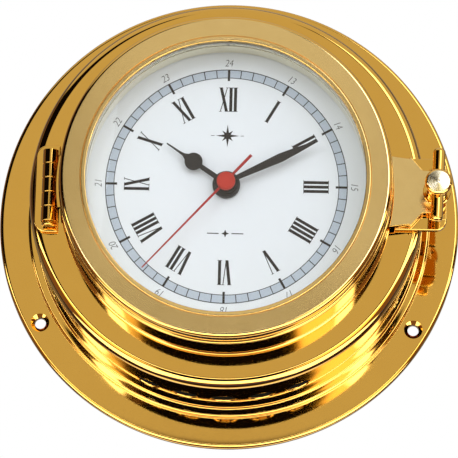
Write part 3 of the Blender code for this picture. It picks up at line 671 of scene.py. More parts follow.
class CLOCK_OT_case(PieceOperator, bpy.types.Operator):
    """Turned case with its flange, bead, cove, wall, shoulder, spigot, sound holes and screw holes"""
    bl_idname = "clock.case"
    bl_label = "Case"

    def build(self, scene):
        run = outline(
            stretch((89.2, 0.0), (90.0, 0.8), 2), arc(88.5, 2.5, 1.5, 0, 90, 12),
            stretch((88.5, 4.0), (78.7, 4.0), 5), arc(78.7, 4.3, 0.3, 270, 180, 4),
            stretch((78.4, 4.5), (78.4, 5.5), 2), arc(77.5, 5.6, 0.9, 0, 90, 10),
            stretch((77.5, 6.5), (75.6, 6.5), 2), arc(75.6, 7.1, 0.6, 270, 180, 6),
            stretch((75.0, 7.2), (75.0, 43.5), 6),
            arc(71.5, 43.5, 3.5, 0, 90, 16), stretch((71.5, 47.0), (58.8, 47.0), 6),
            arc(58.7, 47.3, 0.3, 270, 180, 3), (58.4, 53.7), (58.1, 54.0), (57.2, 54.0),
            (57.2, 44.4), (72.2, 44.4), (72.2, 0.3), (72.5, 0.0))
        piece = make_mesh("case_turned", [lathe(run)])
        holes = []
        for k in range(-2, 3):
            across = radial_axis(270.0 + k * SOUND_HOLE_STEP, SOUND_HOLE_DEPTH)
            bore = outline((0, 69.0), (SOUND_HOLE_R, 69.0), (SOUND_HOLE_R, 74.3),
                           arc(SOUND_HOLE_R + 0.8, 74.3, 0.8, 180, 115, 5),
                           (SOUND_HOLE_R + 0.8, 78.0), (0, 78.0))
            holes.append(lathe(bore, across, 48, closed=False))
        for angle in SIDE_SCREW_ANGLES:
            across = radial_axis(angle, SIDE_SCREW_DEPTH)
            bore = outline((0, 69.0), (1.7, 69.0), (1.7, 73.2), (2.9, 74.6), (2.9, 78.0), (0, 78.0))
            holes.append(lathe(bore, across, 40, closed=False))
            place = clock_axis_point(FLANGE_HOLE_RING, angle, 0.0)
            bore = outline((0, -2.0), (FLANGE_HOLE_R, -2.0), (FLANGE_HOLE_R, 2.6),
                           (FLANGE_SINK_R, 4.1), (FLANGE_SINK_R, 6.0), (0, 6.0))
            holes.append(lathe(bore, node_axis(place, (0, -1, 0)), 48, closed=False))
        carve(piece, holes)

        # faces inside the case wall and the bores of the holes through it take the matt black: painted shade
        # where the brass lies in shadow
        def inner(centre, normal):
            radius = np.hypot(centre[:, 0], centre[:, 2])
            return (radius < 74.2) & (centre[:, 1] > -46.0)

        dress(piece, "case", [Look.get("polished"), Look.get("inside")],
              ["case_shell"], inner)


class CLOCK_OT_screws(PieceOperator, bpy.types.Operator):
    """Countersunk screws in the side of the case, each with its slot"""
    bl_idname = "clock.screws"
    bl_label = "Side screws"

    def build(self, scene):
        for number, angle in enumerate(SIDE_SCREW_ANGLES, 1):
            across = radial_axis(angle, SIDE_SCREW_DEPTH)
            run = outline((0, 65.0), (1.4, 65.0), (1.4, 73.2), (2.7, 74.5), (2.6, 74.75), (0, 74.85))
            piece = make_mesh(f"side_screw_fine_{number}", [lathe(run, across, 40, closed=False)])
            swing = math.radians(angle)
            out = np.array((math.cos(swing), 0.0, math.sin(swing)))
            along = np.array((-math.sin(swing), 0.0, math.cos(swing)))
            corners = np.array([[a, b, c] for c in (74.2, 76.0) for b in (-0.3, 0.3) for a in (-4, 4)])
            places = (np.array((0.0, -SIDE_SCREW_DEPTH, 0.0)) + corners[:, :1] * along
                      + corners[:, 1:2] * np.array((0, -1, 0)) + corners[:, 2:] * out)
            box_faces = [(0, 1, 3, 2), (4, 6, 7, 5), (0, 4, 5, 1), (2, 3, 7, 6), (0, 2, 6, 4), (1, 5, 7, 3)]
            carve(piece, [(places, box_faces)])
            dress(piece, "case", [Look.get("steel")], [f"side_screw_{number}"])


class CLOCK_OT_carrier(PieceOperator, bpy.types.Operator):
    """Moulded ring that carries the dial, seen from behind"""
    bl_idname = "clock.carrier"
    bl_label = "Dial carrier"

    def build(self, scene):
        run = outline((71.7, 24.3), (71.7, 31.7), (71.4, 32.0), (56.9, 32.0), (56.9, 55.4), (4.6, 55.4),
                      (4.6, 52.4), (53.8, 52.4), (54.4, 51.8), (54.4, 24.3), (54.7, 24.0), (71.4, 24.0))
        piece = make_mesh("dial_carrier_moulded", [lathe(run, columns=240)])
        dress(piece, "case", [Look.get("carrier")], ["dial_carrier"])


class CLOCK_OT_bezel(PieceOperator, bpy.types.Operator):
    """Hinged bezel: stepped turned ring with a satin face, and the ring that holds the glass"""
    bl_idname = "clock.bezel"
    bl_label = "Bezel"

    def build(self, scene):
        run = outline(
            (62.6, 47.3), arc(62.5, 47.9, 0.6, 290, 430, 10), stretch((62.5, 48.7), (62.5, 64.7), 4),
            arc(61.9, 64.9, 0.6, 0, 80, 6), arc(61.95, 65.9, 0.25, 250, 180, 3),
            stretch((61.7, 66.1), (61.7, 71.3), 3), arc(60.1, 71.4, 1.6, 0, 90, 14),
            stretch((60.1, 73.0), (54.1, 73.0), 5), (53.95, 72.8), (53.8, 72.8), (53.7, 72.93),
            stretch((53.6, 72.97), (52.3, 72.88), 3), arc(52.3, 72.6, 0.28, 95, 180, 5), (51.95, 72.3),
            (51.9, 71.3), (55.7, 71.3), (55.7, 67.4),
            (57.6, 67.4), (57.6, 64.6), (59.4, 64.6), (60.9, 63.0), (60.9, 47.3))
        piece = make_mesh("bezel_turned", [lathe(run)])
        notch = outline((0, -15.2), (3.7, -15.2), (3.7, 15.2), (0, 15.2))
        upright = node_axis((HINGE_X, -HINGE_DEPTH, 0.0), (0, 0, 1), (1, 0, 0))
        carve(piece, [lathe(notch, upright, 64, closed=False)])

        def satin(centre, normal):
            return (normal[:, 1] < -0.95) & (centre[:, 1] < -BEZEL_FACE + 0.4)

        dress(piece, "bezel", [Look.get("polished"), Look.get("satin_face")],
              ["bezel_ring"], satin)
        run = outline((52.3, 65.2), (52.5, 65.0), (57.0, 65.0), (57.2, 65.2), (57.2, 66.7), (52.3, 66.7))
        ring = make_mesh("glass_ring_turned", [lathe(run)])
        dress(ring, "bezel", [Look.get("gilt")], ["glass_retaining_ring"])


class CLOCK_OT_glass(PieceOperator, bpy.types.Operator):
    """Flat glass with ground edges, and its vinyl gasket"""
    bl_idname = "clock.glass"
    bl_label = "Glass"

    def build(self, scene):
        run = outline((0, 68.0), (55.1, 68.0), (55.4, 68.3), (55.4, 70.7), (55.1, 71.0), (0, 71.0))
        piece = make_mesh("glass_disc", [lathe(run, columns=256, closed=False)])
        dress(piece, "bezel", [Look.get("glass")], ["glass"])
        run = outline((52.3, 67.1), (52.5, 67.0), (55.1, 67.0), (55.3, 67.1), (55.3, 67.7), (52.3, 67.7))
        gasket = make_mesh("glass_gasket_ring", [lathe(run, columns=256)])
        dress(gasket, "bezel", [Look.get("vinyl")], ["glass_gasket"])


class CLOCK_OT_reflector(PieceOperator, bpy.types.Operator):
    """Pale gilt ring round the dial"""
    bl_idname = "clock.reflector"
    bl_label = "Reflector ring"

    def build(self, scene):
        run = outline((52.4, 56.8), (56.3, 56.8), (56.5, 57.0), (56.5, 57.8), (53.3, 57.8), (53.3, 64.2),
                      (53.1, 64.4), (52.4, 64.4), (52.2, 64.2), (52.2, 57.0))
        piece = make_mesh("reflector_turned", [lathe(run)])
        dress(piece, "case", [Look.get("gilt")], ["reflector_ring"])


# ---------------------------------------------------------------- dial

def flat(points, faces, depth):
    """A printed shape: flat faces that look forwards at one depth."""
    points = np.asarray(points, float)
    return np.stack((points[:, 0], np.full(len(points), -depth), points[:, 1]), -1), faces


def ring_print(inner, outer, depth, columns=360, start=0.0, sweep=360.0):
    """A printed band between two radii, over a sweep of degrees clockwise from 12."""
    whole = sweep >= 360.0
    steps = columns if whole else columns + 1
    angle = np.radians(start + np.linspace(0, sweep, steps, endpoint=not whole))
    direction = np.stack((np.sin(angle), np.cos(angle)), -1)
    points = np.concatenate((direction * inner, direction * outer))
    return flat(points, grid_faces(2, steps, False, whole), depth)


def bar_print(inner, outer, width, angle, depth):
    """A printed stroke along a radius."""
    corners = np.array(((-width / 2, inner), (width / 2, inner), (width / 2, outer), (-width / 2, outer)))
    return flat(set_round(corners, angle), [(0, 1, 2, 3)], depth)


def set_round(points, angle):
    """Points drawn upright at 12 o'clock, turned clockwise round the dial's centre."""
    swing = math.radians(angle)
    x, y = points[:, 0], points[:, 1]
    return np.stack((x * math.cos(swing) + y * math.sin(swing),
                     -x * math.sin(swing) + y * math.cos(swing)), -1)


def slanted(x0, x1, low, high, thick):
    """A four-cornered stroke between two heights; thick is its width measured across."""
    return np.array(((x0 - thick / 2, low), (x0 + thick / 2, low),
                     (x1 + thick / 2, high), (x1 - thick / 2, high)))


def numeral(text, low, high, thick=1.12, thin=0.3, serif=0.2):
    """The strokes of a Roman numeral, centred, between two heights. Each I is an upright bar, each
    V a thick and a thin slanted stroke that meet at the foot, each X a thick and a thin
    slanted stroke that cross. Serifs are short thin bars at head and foot."""
    widths = {"I": 1.72, "V": 3.5, "X": 3.6}
    pen = -sum(widths[c] for c in text) / 2
    strokes = []

    def serifs(x, reach_low, reach_high):
        if reach_low:
            strokes.append(np.array(((x - reach_low, low), (x + reach_low, low),
                                     (x + reach_low, low + serif), (x - reach_low, low + serif))))
        if reach_high:
            strokes.append(np.array(((x - reach_high, high - serif), (x + reach_high, high - serif),
                                     (x + reach_high, high), (x - reach_high, high))))

    for letter in text:
        width = widths[letter]
        middle = pen + width / 2
        if letter == "I":
            strokes.append(slanted(middle, middle, low, high, thick))
            serifs(middle, width / 2, width / 2)
        elif letter == "V":
            strokes.append(slanted(middle - 0.05, middle - 1.15, low, high, thick))
            strokes.append(slanted(middle + 0.2, middle + 1.25, low, high, thin))
            serifs(middle - 1.15, 0.0, 0.78)
            serifs(middle + 1.25, 0.0, 0.5)
        else:
            strokes.append(slanted(middle + 1.1, middle - 1.1, low, high, thick))
            strokes.append(slanted(middle - 1.25, middle + 1.25, low, high, thin))
            for x, a, b in ((middle + 1.1, 0.75, 0.0), (middle - 1.25, 0.5, 0.0),
                            (middle - 1.1, 0.0, 0.75), (middle + 1.25, 0.0, 0.5)):
                serifs(x, a, b)
        pen += width
    return strokes


def figures(text, height, angle, radius, depth, lean=0.2, thin=-0.018):
    """Small leaning figures from Blender's own font as a flat mesh, foot at the radius."""
    curve = bpy.data.curves.new("figures", "FONT")
    curve.body = text
    curve.size = height / 0.7
    curve.offset = thin * height
    curve.space_character = 0.95
    writing = bpy.data.objects.new("figures", curve)
    bpy.context.scene.collection.objects.link(writing)
    bpy.context.view_layer.update()
    data = bpy.data.meshes.new_from_object(writing.evaluated_get(bpy.context.evaluated_depsgraph_get()))
    points = np.empty(len(data.vertices) * 3)
    data.vertices.foreach_get("co", points)
    points = points.reshape(-1, 3)[:, :2]
    points[:, 0] += points[:, 1] * lean
    points[:, 0] -= (points[:, 0].min() + points[:, 0].max()) / 2
    points[:, 0] *= 0.82
    points[:, 1] += radius
    faces = [tuple(p.vertices) for p in data.polygons]
    bpy.data.objects.remove(writing)
    bpy.data.curves.remove(curve)
    bpy.data.meshes.remove(data)
    return flat(set_round(points, angle), faces, depth)


def star(points, outer, inner, centre_y, depth, turn=0.0):
    """A star polygon: the radius goes between outer and inner as the angle goes round."""
    angle = np.radians(turn) + np.arange(points * 2) * math.pi / points
    radius = np.where(np.arange(points * 2) % 2 == 0, outer, inner)
    rim = np.stack((radius * np.sin(angle), radius * np.cos(angle) + centre_y), -1)
    places = np.concatenate((rim, [[0.0, centre_y]]))
    count = points * 2
    return flat(places, [(i, (i + 1) % count, count) for i in range(count)], depth)


def printed(name, shapes, look, body="case"):
    """A printed layer as one flat mesh that faces forwards."""
    piece = make_mesh(name, shapes, outward=False)
    data = piece.data
    work = bmesh.new()
    work.from_mesh(data)
    back = [f for f in work.faces if f.normal.y > 0]
    bmesh.ops.reverse_faces(work, faces=back)
    work.to_mesh(data)
    work.free()
    return dress(piece, body, [Look.get(look)])


class CLOCK_OT_dial(PieceOperator, bpy.types.Operator):
    """White dial with its minute track, Roman numerals, 24-hour figures and compass star"""
    bl_idname = "clock.dial"
    bl_label = "Dial"

    def build(self, scene):
        dial = scene.clock_dial
        run = outline((3.8, 55.7), (56.6, 55.7), (56.7, 55.8), (56.7, 56.4),
                      (56.6, 56.5), (3.9, 56.5), (3.8, 56.4))
        plate_piece = make_mesh("dial_disc", [lathe(run, columns=256)])
        dress(plate_piece, "case", [Look.get("paint")], ["dial_plate"])
        first, second, third = (DIAL_FRONT + INK_LIFT * k for k in (1, 2, 3))
        outer, inner = dial.track_outer, dial.track_inner
        printed("dial_track", [ring_print(inner, outer, first)], "track")
        lines = [ring_print(inner - 0.14, inner + 0.14, second),
                 ring_print(outer - 0.17, outer + 0.17, second)]
        lines += [bar_print(inner, outer, 0.34, minute * 6.0, second) for minute in range(60) if minute % 5]
        printed("dial_track_lines", lines, "fine_ink")
        strokes = [bar_print(dial.tick_inner, outer + 0.15, 0.86, hour * 30.0, third) for hour in range(12)]
        names = ("XII", "I", "II", "III", "IIII", "V", "VI", "VII", "VIII", "IX", "X", "XI")
        for hour, text in enumerate(names):
            for level, corners in enumerate(numeral(text, dial.numeral_inner, dial.numeral_outer)):
                strokes.append(flat(set_round(corners, hour * 30.0), [(0, 1, 2, 3)], third + 0.002 * level))
        printed("dial_numerals", strokes, "ink")
        small = [figures(str(hour + 12 if hour else 24), dial.figure_height, hour * 30.0,
                         dial.figure_radius, second) for hour in range(12)]
        printed("dial_24_hour_figures", small, "hours_24")
        emblem = [star(4, 4.4, 0.85, 19.4, second), star(4, 2.9, 0.85, 19.4, second + 0.004, 45.0),
                  flat([(-6.2, 19.3), (-4.9, 19.3), (-4.9, 19.5), (-6.2, 19.5)], [(0, 1, 2, 3)], second),
                  flat([(4.9, 19.3), (6.2, 19.3), (6.2, 19.5), (4.9, 19.5)], [(0, 1, 2, 3)], second)]
        emblem += [star(4, 1.5, 0.6, -18.6, second)]
        emblem += [flat([(x, -18.78), (x + 4.4, -18.78), (x + 4.4, -18.42), (x, -18.42)],
                        [(0, 1, 2, 3)], second) for x in (-6.8, 2.4)]
        printed("dial_emblem", emblem, "ink")


# ---------------------------------------------------------------- hands

def mirrored(half, tip):
    """A hand's outline from one side of it, upright, with its tip rounded to a point."""
    half = np.asarray(half, float)
    other = half[::-1] * (-1, 1)
    return np.concatenate((half, [[0.0, tip]], other))


def blade(half, tip, low, high, angle, edge):
    return turn_about(plate(mirrored(half, tip), low, high, edge, 3), angle)


class CLOCK_OT_hands(PieceOperator, bpy.types.Operator):
    """Black spade hour hand and tapered minute hand, red seconds hand with its cap"""
    bl_idname = "clock.hands"
    bl_label = "Hands"

    def build(self, scene):
        hands = scene.clock_hands
        angle = np.linspace(-62, 118, 15)
        ball = np.stack((3.4 * np.cos(np.radians(angle)), 15.0 + 3.4 * np.sin(np.radians(angle))), -1)
        ball = ball[ball[:, 0] > 0.75]
        spade = outline((0.9, -2.0), (0.95, 4.0), (0.9, 11.6), ball, (0.62, 19.6), (0.4, 21.5), (0.26, 27.2))
        shapes = [blade(spade, 27.4, 59.0, 59.5, hands.hour_angle, 0.12)]
        hub = outline((3.05, 58.75), (4.25, 58.75), (4.35, 58.85),
                      (4.35, 59.45), (4.25, 59.55), (3.05, 59.55))
        shapes.append(lathe(hub, columns=96))
        piece = make_mesh("hour_hand_fine", shapes)
        dress(piece, "hour", [Look.get("black_hand")], ["hour_hand"])
        sword = [(0.9, -2.0), (0.9, 4.0), (1.7, 22.5), (1.15, 29.5), (0.3, 37.6)]
        shapes = [blade(sword, 38.0, 60.8, 61.3, hands.minute_angle, 0.12)]
        hub = outline((1.85, 60.55), (4.0, 60.55), (4.1, 60.65), (4.1, 61.25), (4.0, 61.35), (1.85, 61.35))
        shapes.append(lathe(hub, columns=96))
        piece = make_mesh("minute_hand_fine", shapes)
        dress(piece, "minute", [Look.get("black_hand")], ["minute_hand"])
        needle = [(0.55, -13.8), (0.48, 0.0), (0.22, 45.4)]
        piece = make_mesh("second_hand_fine", [blade(needle, 45.5, 62.6, 63.0, hands.second_angle, 0.08)])
        dress(piece, "second", [Look.get("red_hand")], ["second_hand"])
        dome = outline((0.9, 62.2), (3.35, 62.2), (3.45, 62.3), arc(2.65, 63.5, 0.8, 0, 90, 8),
                       arc(0.0, 54.5, 10.0, 74.6, 90, 5), (0.0, 64.5), (0.0, 63.4), (0.9, 63.4))
        cap = make_mesh("second_cap_fine", [lathe(dome, columns=96)])
        dress(cap, "second", [Look.get("red_cap")])


# ---------------------------------------------------------------- hinge and latch

def upright_axis(x, depth):
    return node_axis((x, -depth, 0.0), (0, 0, 1), (1, 0, 0))


def soft_rod(radius, low, high, edge=0.2):
    """The outline of a pin with rounded ends."""
    return outline((0, low), arc(radius - edge, low + edge, edge, 270, 360, 4),
                   arc(radius - edge, high - edge, edge, 0, 90, 4), (0, high))


class CLOCK_OT_hinge(PieceOperator, bpy.types.Operator):
    """Five-knuckle hinge with its plate, strap and headed pin"""
    bl_idname = "clock.hinge"
    bl_label = "Hinge"

    def build(self, scene):
        polished = Look.get("polished")
        loop = rounded([(-72.6, -17), (-63.4, -17), (-63.4, 17), (-72.6, 17)], [4.5, 0.6, 0.6, 4.5])
        knuckle = 28.0 / 5
        shapes = {"case": [plate(loop, 47.3, 49.1, 0.45, 4)], "bezel": []}
        axis = upright_axis(HINGE_X, HINGE_DEPTH)
        for k in range(5):
            low = -14.0 + k * knuckle + 0.05
            high = low + knuckle - 0.1
            run = outline((1.25, low), arc(2.75, low + 0.15, 0.15, 270, 360, 3), (2.9, low + 0.3),
                          (2.9, high - 0.3), arc(2.75, high - 0.15, 0.15, 0, 90, 3), (1.25, high))
            shapes["case" if k % 2 == 0 else "bezel"].append(lathe(run, axis, SMALL_COLUMNS))
            if k % 2 == 0:
                block = rounded([(-69.4, low), (-65.4, low), (-65.4, high), (-69.4, high)], 0.2, 2)
                shapes["case"].append(plate(block, 48.9, 50.9, 0.15, 2))
        angle = np.radians(180 + np.linspace(-9, 9, 13))
        outer, inner = 63.9, 62.4
        rows = np.array([(outer, 56.4), (outer, 58.6), (outer - 0.2, 58.8),
                         (inner, 58.8), (inner, 56.2), (outer - 0.2, 56.2)])
        points = np.stack((rows[:, None, 0] * np.cos(angle), np.broadcast_to(-rows[:, None, 1], (6, 13)),
                           rows[:, None, 0] * np.sin(angle)), -1).reshape(-1, 3)
        faces = list(grid_faces(6, 13, True, False))
        faces += [np.arange(6) * 13, np.arange(6)[::-1] * 13 + 12]
        shapes["bezel"].append((points, faces))
        piece = make_mesh("case_hinge_fine", shapes["case"])
        dress(piece, "case", [polished], ["case_hinge_leaf"])
        piece = make_mesh("bezel_hinge_fine", shapes["bezel"])
        dress(piece, "bezel", [polished], ["bezel_hinge_leaf"])
        run = outline((0, -15.7), arc(1.9, -15.1, 0.6, 270, 360, 5), arc(2.3, -14.4, 0.2, 0, 90, 3),
                      (1.2, -14.2), (1.2, 14.2), (1.0, 14.4), (0, 14.4))
        pin = make_mesh("hinge_pin_fine", [lathe(run, axis, SMALL_COLUMNS, closed=False)])
        dress(pin, "case", [polished], ["hinge_pin"])


class CLOCK_OT_latch(PieceOperator, bpy.types.Operator):
    """Lug on the bezel, bracket on the shoulder, swing bolt, washer and T-bar nut"""
    bl_idname = "clock.latch"
    bl_label = "Latch"

    def build(self, scene):
        polished, satin, steel = Look.get("polished"), Look.get("satin_lug"), Look.get("steel")
        angle = np.radians(np.linspace(LUG_HALF_ANGLE, -LUG_HALF_ANGLE, 13))
        inside = np.stack((62.7 * np.cos(angle), 62.7 * np.sin(angle)), -1)
        tip = rounded([(68.6, -14.2), (73.7, -8.4), (80.2, -8.0), (80.2, -3.0), (75.6, -3.0), (75.6, 3.0),
                       (80.2, 3.0), (80.2, 8.0), (73.7, 8.4), (68.6, 14.2)],
                      [0.5, 1.2, 1.6, 0.4, 2.6, 2.6, 0.4, 1.6, 1.2, 0.5])
        loop = np.concatenate((tip, inside))
        lug = make_mesh("bezel_lug_fine", [plate(loop, 50.6, 54.0, 0.3, 3)])

        def front(centre, normal):
            return normal[:, 1] < -0.98

        dress(lug, "bezel", [polished, satin], ["bezel_latch_lug"], front)

        loop = rounded([(63.4, -14), (83.0, -14), (83.0, 14), (63.4, 14)], [0.5, 4.0, 4.0, 0.5])
        ear = [rounded([(76.2, z0), (83.0, z0), (83.0, z1), (76.2, z1)], 0.6, 3)
               for z0, z1 in ((-10, -2.9), (2.9, 10))]
        bracket = make_mesh("latch_bracket_fine", [plate(loop, 47.3, 50.0, 0.6, 4)])
        slot = rounded([(75.6, -2.9), (90.0, -2.9), (90.0, 2.9), (75.6, 2.9)], 0.0)
        carve(bracket, [plate(slot, 40.0, 56.0, 0.01, 1)])
        dress(bracket, "case", [polished], ["latch_bracket"])
        ears = make_mesh("latch_ears_fine", [plate(e, 45.6, 50.2, 0.4, 3) for e in ear])
        dress(ears, "case", [polished])
        axis = upright_axis(LATCH_X, LATCH_PIVOT_DEPTH)
        pin = make_mesh("latch_pin_fine", [lathe(soft_rod(1.0, -10.0, 10.0), axis, 32, closed=False)])
        dress(pin, "case", [steel], ["latch_pivot_pin"])

        forward = node_axis((LATCH_X, 0.0, 0.0), (0, -1, 0))
        eye = outline((1.25, -2.6), (2.2, -2.6), (2.4, -2.4), (2.4, 2.4), (2.2, 2.6), (1.25, 2.6))
        shank = outline((0, 50.0), (2.0, 50.0), stretch((2.0, 50.2), (2.0, 60.4), 2), (1.6, 60.8), (0, 60.8))
        bolt = make_mesh("swing_bolt_fine", [lathe(eye, axis, 48), lathe(shank, forward, 48, closed=False)])
        dress(bolt, "latch_bolt", [polished], ["swing_bolt"])
        run = outline((2.35, 53.3), (5.0, 53.3), (5.2, 53.5), (5.2, 54.3), (5.0, 54.5), (2.35, 54.5))
        washer = make_mesh("nut_washer_fine", [lathe(run, forward, SMALL_COLUMNS)])
        dress(washer, "latch_washer", [polished], ["nut_washer"])

        run = outline((2.35, 54.8), (3.7, 54.8), (3.9, 55.0), arc(5.4, 58.7, 2.4, 232, 128, 12),
                      (3.9, 62.6), arc(6.2, 66.4, 2.3, 214, 180, 5), arc(3.6, 67.7, 1.45, -20, 76, 10),
                      stretch((3.9, 69.12), (0.0, 69.9), 4), (0, 62.4), (2.35, 62.4))
        nut = make_mesh("dog_nut_fine", [lathe(run, forward, 128)])

        def facing(centre, normal):
            return (centre[:, 1] < -69.05) & (normal[:, 1] < -0.9)

        dress(nut, "latch_nut", [polished, Look.get("nut_face")], ["dog_nut"], facing)
        lean = math.radians(CROSS_BAR_LEAN)
        along = node_axis((LATCH_X, -CROSS_BAR_DEPTH, 0.0), (math.sin(lean), 0, math.cos(lean)), (1, 0, 0))
        run = outline((0, -14.1), arc(0.7, -12.5, 1.6, 270, 360, 8), arc(0.7, 12.5, 1.6, 0, 90, 8), (0, 14.1))
        bar = make_mesh("cross_bar_fine", [lathe(run, along, SMALL_COLUMNS, closed=False)])
        dress(bar, "latch_nut", [polished], ["nut_cross_bar"])


# ---------------------------------------------------------------- movement and carried-over nodes

CARRIED = {
    "polished": ["threaded_bush"],
    "steel": ["negative_contact", "positive_contact", "quartz_crystal", "coil_core", "stator", "rotor"],
    "carrier": ["movement_front_case", "movement_rear_cover", "dial_nut"],
    "film": ["battery_cell"],
    "board": ["circuit_board"],
    "wire": ["coil"],
    "gears": ["second_wheel", "third_wheel", "centre_wheel", "intermediate_wheel", "minute_wheel",
              "hour_wheel", "setting_knob"],
}


class CLOCK_OT_movement(PieceOperator, bpy.types.Operator):
    """Materials for the quartz movement's parts, which keep their CAD shapes"""
    bl_idname = "clock.movement"
    bl_label = "Movement"

    def build(self, scene):
        for look, names in CARRIED.items():
            for name in names:
                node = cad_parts[name]
                node = bpy.data.objects[node] if isinstance(node, str) else node
                for slot in node.material_slots:
                    slot.material = Look.get(look)


# ---------------------------------------------------------------- stage

# The light tent by direction: azimuth from the front towards +X and elevation, in degrees, the
# softness of the edge, and the colour and strength seen there. Later entries cover earlier ones.
DIFFUSE_LIMIT = 0.9              # brightest the tent appears to matt paint and through the glass
LAMP_TINT = (0.86, 0.93, 1.0)
TENT_BASE = ("5A3A1E", 0.5)
TENT = (
    (-181, 181, 10.0, 91, 0.5, "FFF6E4", 0.72),       # the lit ceiling and upper front
    (100, 181, -20, 50, 8.0, "FFF0DC", 0.25),         # behind, towards the bulkhead
    (-181, -100, -20, 50, 8.0, "FFF0DC", 0.25),
    (-90, 90, -91, -3.0, 1.0, "8A6550", 1.0),         # the floor of the tent
    (-80, 85, -62, -27, 1.0, "F4F6FF", 4.0),          # white sheet on the table in front
    (-130, -88, 7.0, 44, 4.0, "80604C", 0.9),         # brown screen on the left
    (-88, -9, 7.0, 44, 1.5, "140E0A", 0.8),           # its dark edge
    (8, 15, 8.0, 40, 1.0, "241A10", 0.8),             # narrow dark partner on the right
    (15, 40, -2.0, 42, 1.5, "F4F6FF", 4.0),           # window on the right
    (-66, 80, -0.8, 3.6, 0.6, "F4F6FF", 4.5),         # long strip lamp
    (10.0, 34, -18, -0.8, 1.0, "FFE7A6", 2.5),        # front panels on both sides of the camera
    (-34, -12.8, -18, -0.8, 1.0, "FFE7A6", 2.2),
    (-14, 13, 7.4, 9.6, 0.5, "1A120A", 0.8),          # the seam over the strip lamp
    (-12.8, 10.0, -28, -3.5, 0.6, "0A0704", 1.0),     # the camera's opening
    (140, 181, -58, -24, 3.0, "FFF4DC", 1.5),         # lamp low behind
    (-181, -140, -58, -24, 3.0, "FFF4DC", 1.5),
)


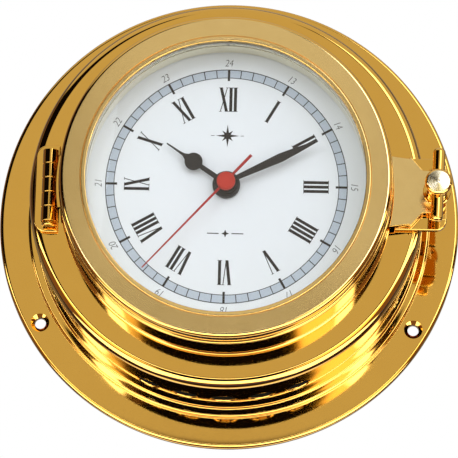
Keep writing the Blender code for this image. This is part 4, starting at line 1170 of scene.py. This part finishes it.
class CLOCK_OT_stage(PieceOperator, bpy.types.Operator):
    """Plain pale floor, soft light tent, lamps and the camera"""
    bl_idname = "clock.stage"
    bl_label = "Stage"

    def build(self, scene):
        self.build_world(scene)
        self.build_lamps(scene)
        self.build_floor(scene)
        self.build_camera(scene)
        scene.view_settings.view_transform = "Standard"

    def build_world(self, scene):
        """A light tent as a map of directions, drawn from the list of its panels."""
        world = bpy.data.worlds.new("light_tent")
        scene.world = world
        world.use_nodes = True
        tree = world.node_tree
        tree.nodes.clear()
        place = add_node(tree, "ShaderNodeTexCoord").outputs["Generated"]
        parts = add_node(tree, "ShaderNodeSeparateXYZ", Vector=place)
        ahead = maths(tree, "MULTIPLY", parts.outputs["Y"], -1.0)
        azimuth = maths(tree, "DEGREES", maths(tree, "ARCTAN2", parts.outputs["X"], ahead))
        elevation = maths(tree, "DEGREES", maths(tree, "ARCSINE", parts.outputs["Z"]))
        tone = tuple(c * TENT_BASE[1] for c in srgb(TENT_BASE[0])[:3]) + (1.0,)
        for left, right, low, high, soft, hexadecimal, strength in TENT:
            edges = [step_at(tree, azimuth, left, soft), step_at(tree, azimuth, right, soft, falling=True),
                     step_at(tree, elevation, low, soft), step_at(tree, elevation, high, soft, falling=True)]
            inside = edges[0]
            for edge in edges[1:]:
                inside = maths(tree, "MULTIPLY", inside, edge)
            mix = add_node(tree, "ShaderNodeMix", {"data_type": "RGBA"})
            feed(tree, mix.inputs[0], inside)
            feed(tree, mix.inputs[6], tone)
            feed(tree, mix.inputs[7], tuple(c * strength for c in srgb(hexadecimal)[:3]) + (1.0,))
            tone = mix.outputs[2]
        path = add_node(tree, "ShaderNodeLightPath")
        limited = add_node(tree, "ShaderNodeVectorMath", {"operation": "MINIMUM"})
        feed(tree, limited.inputs[0], tone)
        feed(tree, limited.inputs[1], (DIFFUSE_LIMIT,) * 3)
        soft_light = add_node(tree, "ShaderNodeMix", {"data_type": "RGBA"})
        feed(tree, soft_light.inputs[0], maths(tree, "MAXIMUM", path.outputs["Is Diffuse Ray"],
                                               path.outputs["Is Transmission Ray"]))
        feed(tree, soft_light.inputs[6], tone)
        feed(tree, soft_light.inputs[7], limited.outputs[0])
        tent = add_node(tree, "ShaderNodeBackground", Color=soft_light.outputs[2], Strength=1.0)
        white = add_node(tree, "ShaderNodeBackground", Color=(1, 1, 1, 1), Strength=1.0)
        seen = add_node(tree, "ShaderNodeMixShader")
        feed(tree, seen.inputs[0], path.outputs["Is Camera Ray"])
        feed(tree, seen.inputs[1], tent.outputs[0])
        feed(tree, seen.inputs[2], white.outputs[0])
        out = add_node(tree, "ShaderNodeOutputWorld")
        tree.links.new(seen.outputs[0], out.inputs["Surface"])

    def build_lamps(self, scene):
        lamps = (("key_lamp", (-0.45, -1.25, 0.45), 0.7, scene.clock_stage.key_watts),
                 ("fill_lamp", (0.6, -1.2, 0.0), 0.9, scene.clock_stage.fill_watts))
        for name, place, width, watts in lamps:
            light = bpy.data.lights.new(name, "AREA")
            light.size = width
            light.energy = watts
            light.color = LAMP_TINT
            lamp = bpy.data.objects.new(name, light)
            scene.collection.objects.link(lamp)
            aim = Vector((0, -0.05, 0)) - Vector(place)
            lamp.location = place
            lamp.rotation_euler = aim.to_track_quat("-Z", "Y").to_euler()
            lamp.visible_glossy = False

    def build_floor(self, scene):
        wide = 6.0
        data = bpy.data.meshes.new("floor")
        data.from_pydata([(-wide, -wide, -0.5), (wide, -wide, -0.5), (wide, wide, -0.5), (-wide, wide, -0.5)],
                         [], [(0, 1, 2, 3)])
        floor = bpy.data.objects.new("floor", data)
        scene.collection.objects.link(floor)
        shader = Shader("pale_floor")
        base = tuple(scene.clock_stage.floor)
        shader.set(Base_Color=shader.tint(shader.noise(400.0), tuple(c * 0.985 for c in base), base),
                   Roughness=0.7)
        data.materials.append(shader.material)
        floor.visible_glossy = False

    def build_camera(self, scene):
        stage = scene.clock_stage
        data = bpy.data.cameras.new("camera")
        data.sensor_width = 36.0
        data.lens = stage.lens
        data.clip_start = 0.01
        camera = bpy.data.objects.new("camera", data)
        scene.collection.objects.link(camera)
        low, side = math.radians(stage.below), math.radians(stage.aside)
        away = Vector((math.sin(side) * math.cos(low), -math.cos(side) * math.cos(low), -math.sin(low)))
        right = Vector((math.cos(side), math.sin(side), 0))
        up = away.cross(right)
        swing = math.radians(stage.roll)
        turned_right = right * math.cos(swing) + up * math.sin(swing)
        turned_up = up * math.cos(swing) - right * math.sin(swing)
        place = away * stage.distance + Vector((0, 0, -stage.aim * MM))
        turn = Matrix((turned_right, turned_up, away)).transposed()
        camera.matrix_world = Matrix.Translation(place) @ turn.to_4x4()
        scene.camera = camera


# ---------------------------------------------------------------- panel and registration

OPERATORS = (CLOCK_OT_case, CLOCK_OT_screws, CLOCK_OT_carrier, CLOCK_OT_reflector, CLOCK_OT_dial,
             CLOCK_OT_hands, CLOCK_OT_bezel, CLOCK_OT_glass, CLOCK_OT_hinge, CLOCK_OT_latch,
             CLOCK_OT_movement, CLOCK_OT_stage)
SETTINGS = {"clock_brass": BrassSettings, "clock_dial": DialSettings, "clock_hands": HandSettings,
            "clock_stage": StageSettings}


class CLOCK_PT_panel(bpy.types.Panel):
    """Settings of the clock and a button for each group of pieces"""
    bl_idname = "CLOCK_PT_panel"
    bl_label = "Deck Clock"
    bl_space_type = "VIEW_3D"
    bl_region_type = "UI"
    bl_category = "Deck Clock"

    def draw(self, context):
        for name, group in SETTINGS.items():
            box = self.layout.box()
            for setting in group.__annotations__:
                box.prop(getattr(context.scene, name), setting)
        for operator in OPERATORS:
            self.layout.operator(operator.bl_idname)


def register():
    for group in SETTINGS.values():
        bpy.utils.register_class(group)
    for name, group in SETTINGS.items():
        setattr(bpy.types.Scene, name, bpy.props.PointerProperty(type=group))
    for operator in OPERATORS:
        bpy.utils.register_class(operator)
    bpy.utils.register_class(CLOCK_PT_panel)


def unregister():
    bpy.utils.unregister_class(CLOCK_PT_panel)
    for operator in reversed(OPERATORS):
        bpy.utils.unregister_class(operator)
    for name, group in SETTINGS.items():
        delattr(bpy.types.Scene, name)
        bpy.utils.unregister_class(group)


def main():
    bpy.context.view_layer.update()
    register()
    for operator in OPERATORS:
        group, name = operator.bl_idname.split(".")
        getattr(getattr(bpy.ops, group), name)()


if __name__ == "__main__":
    main()
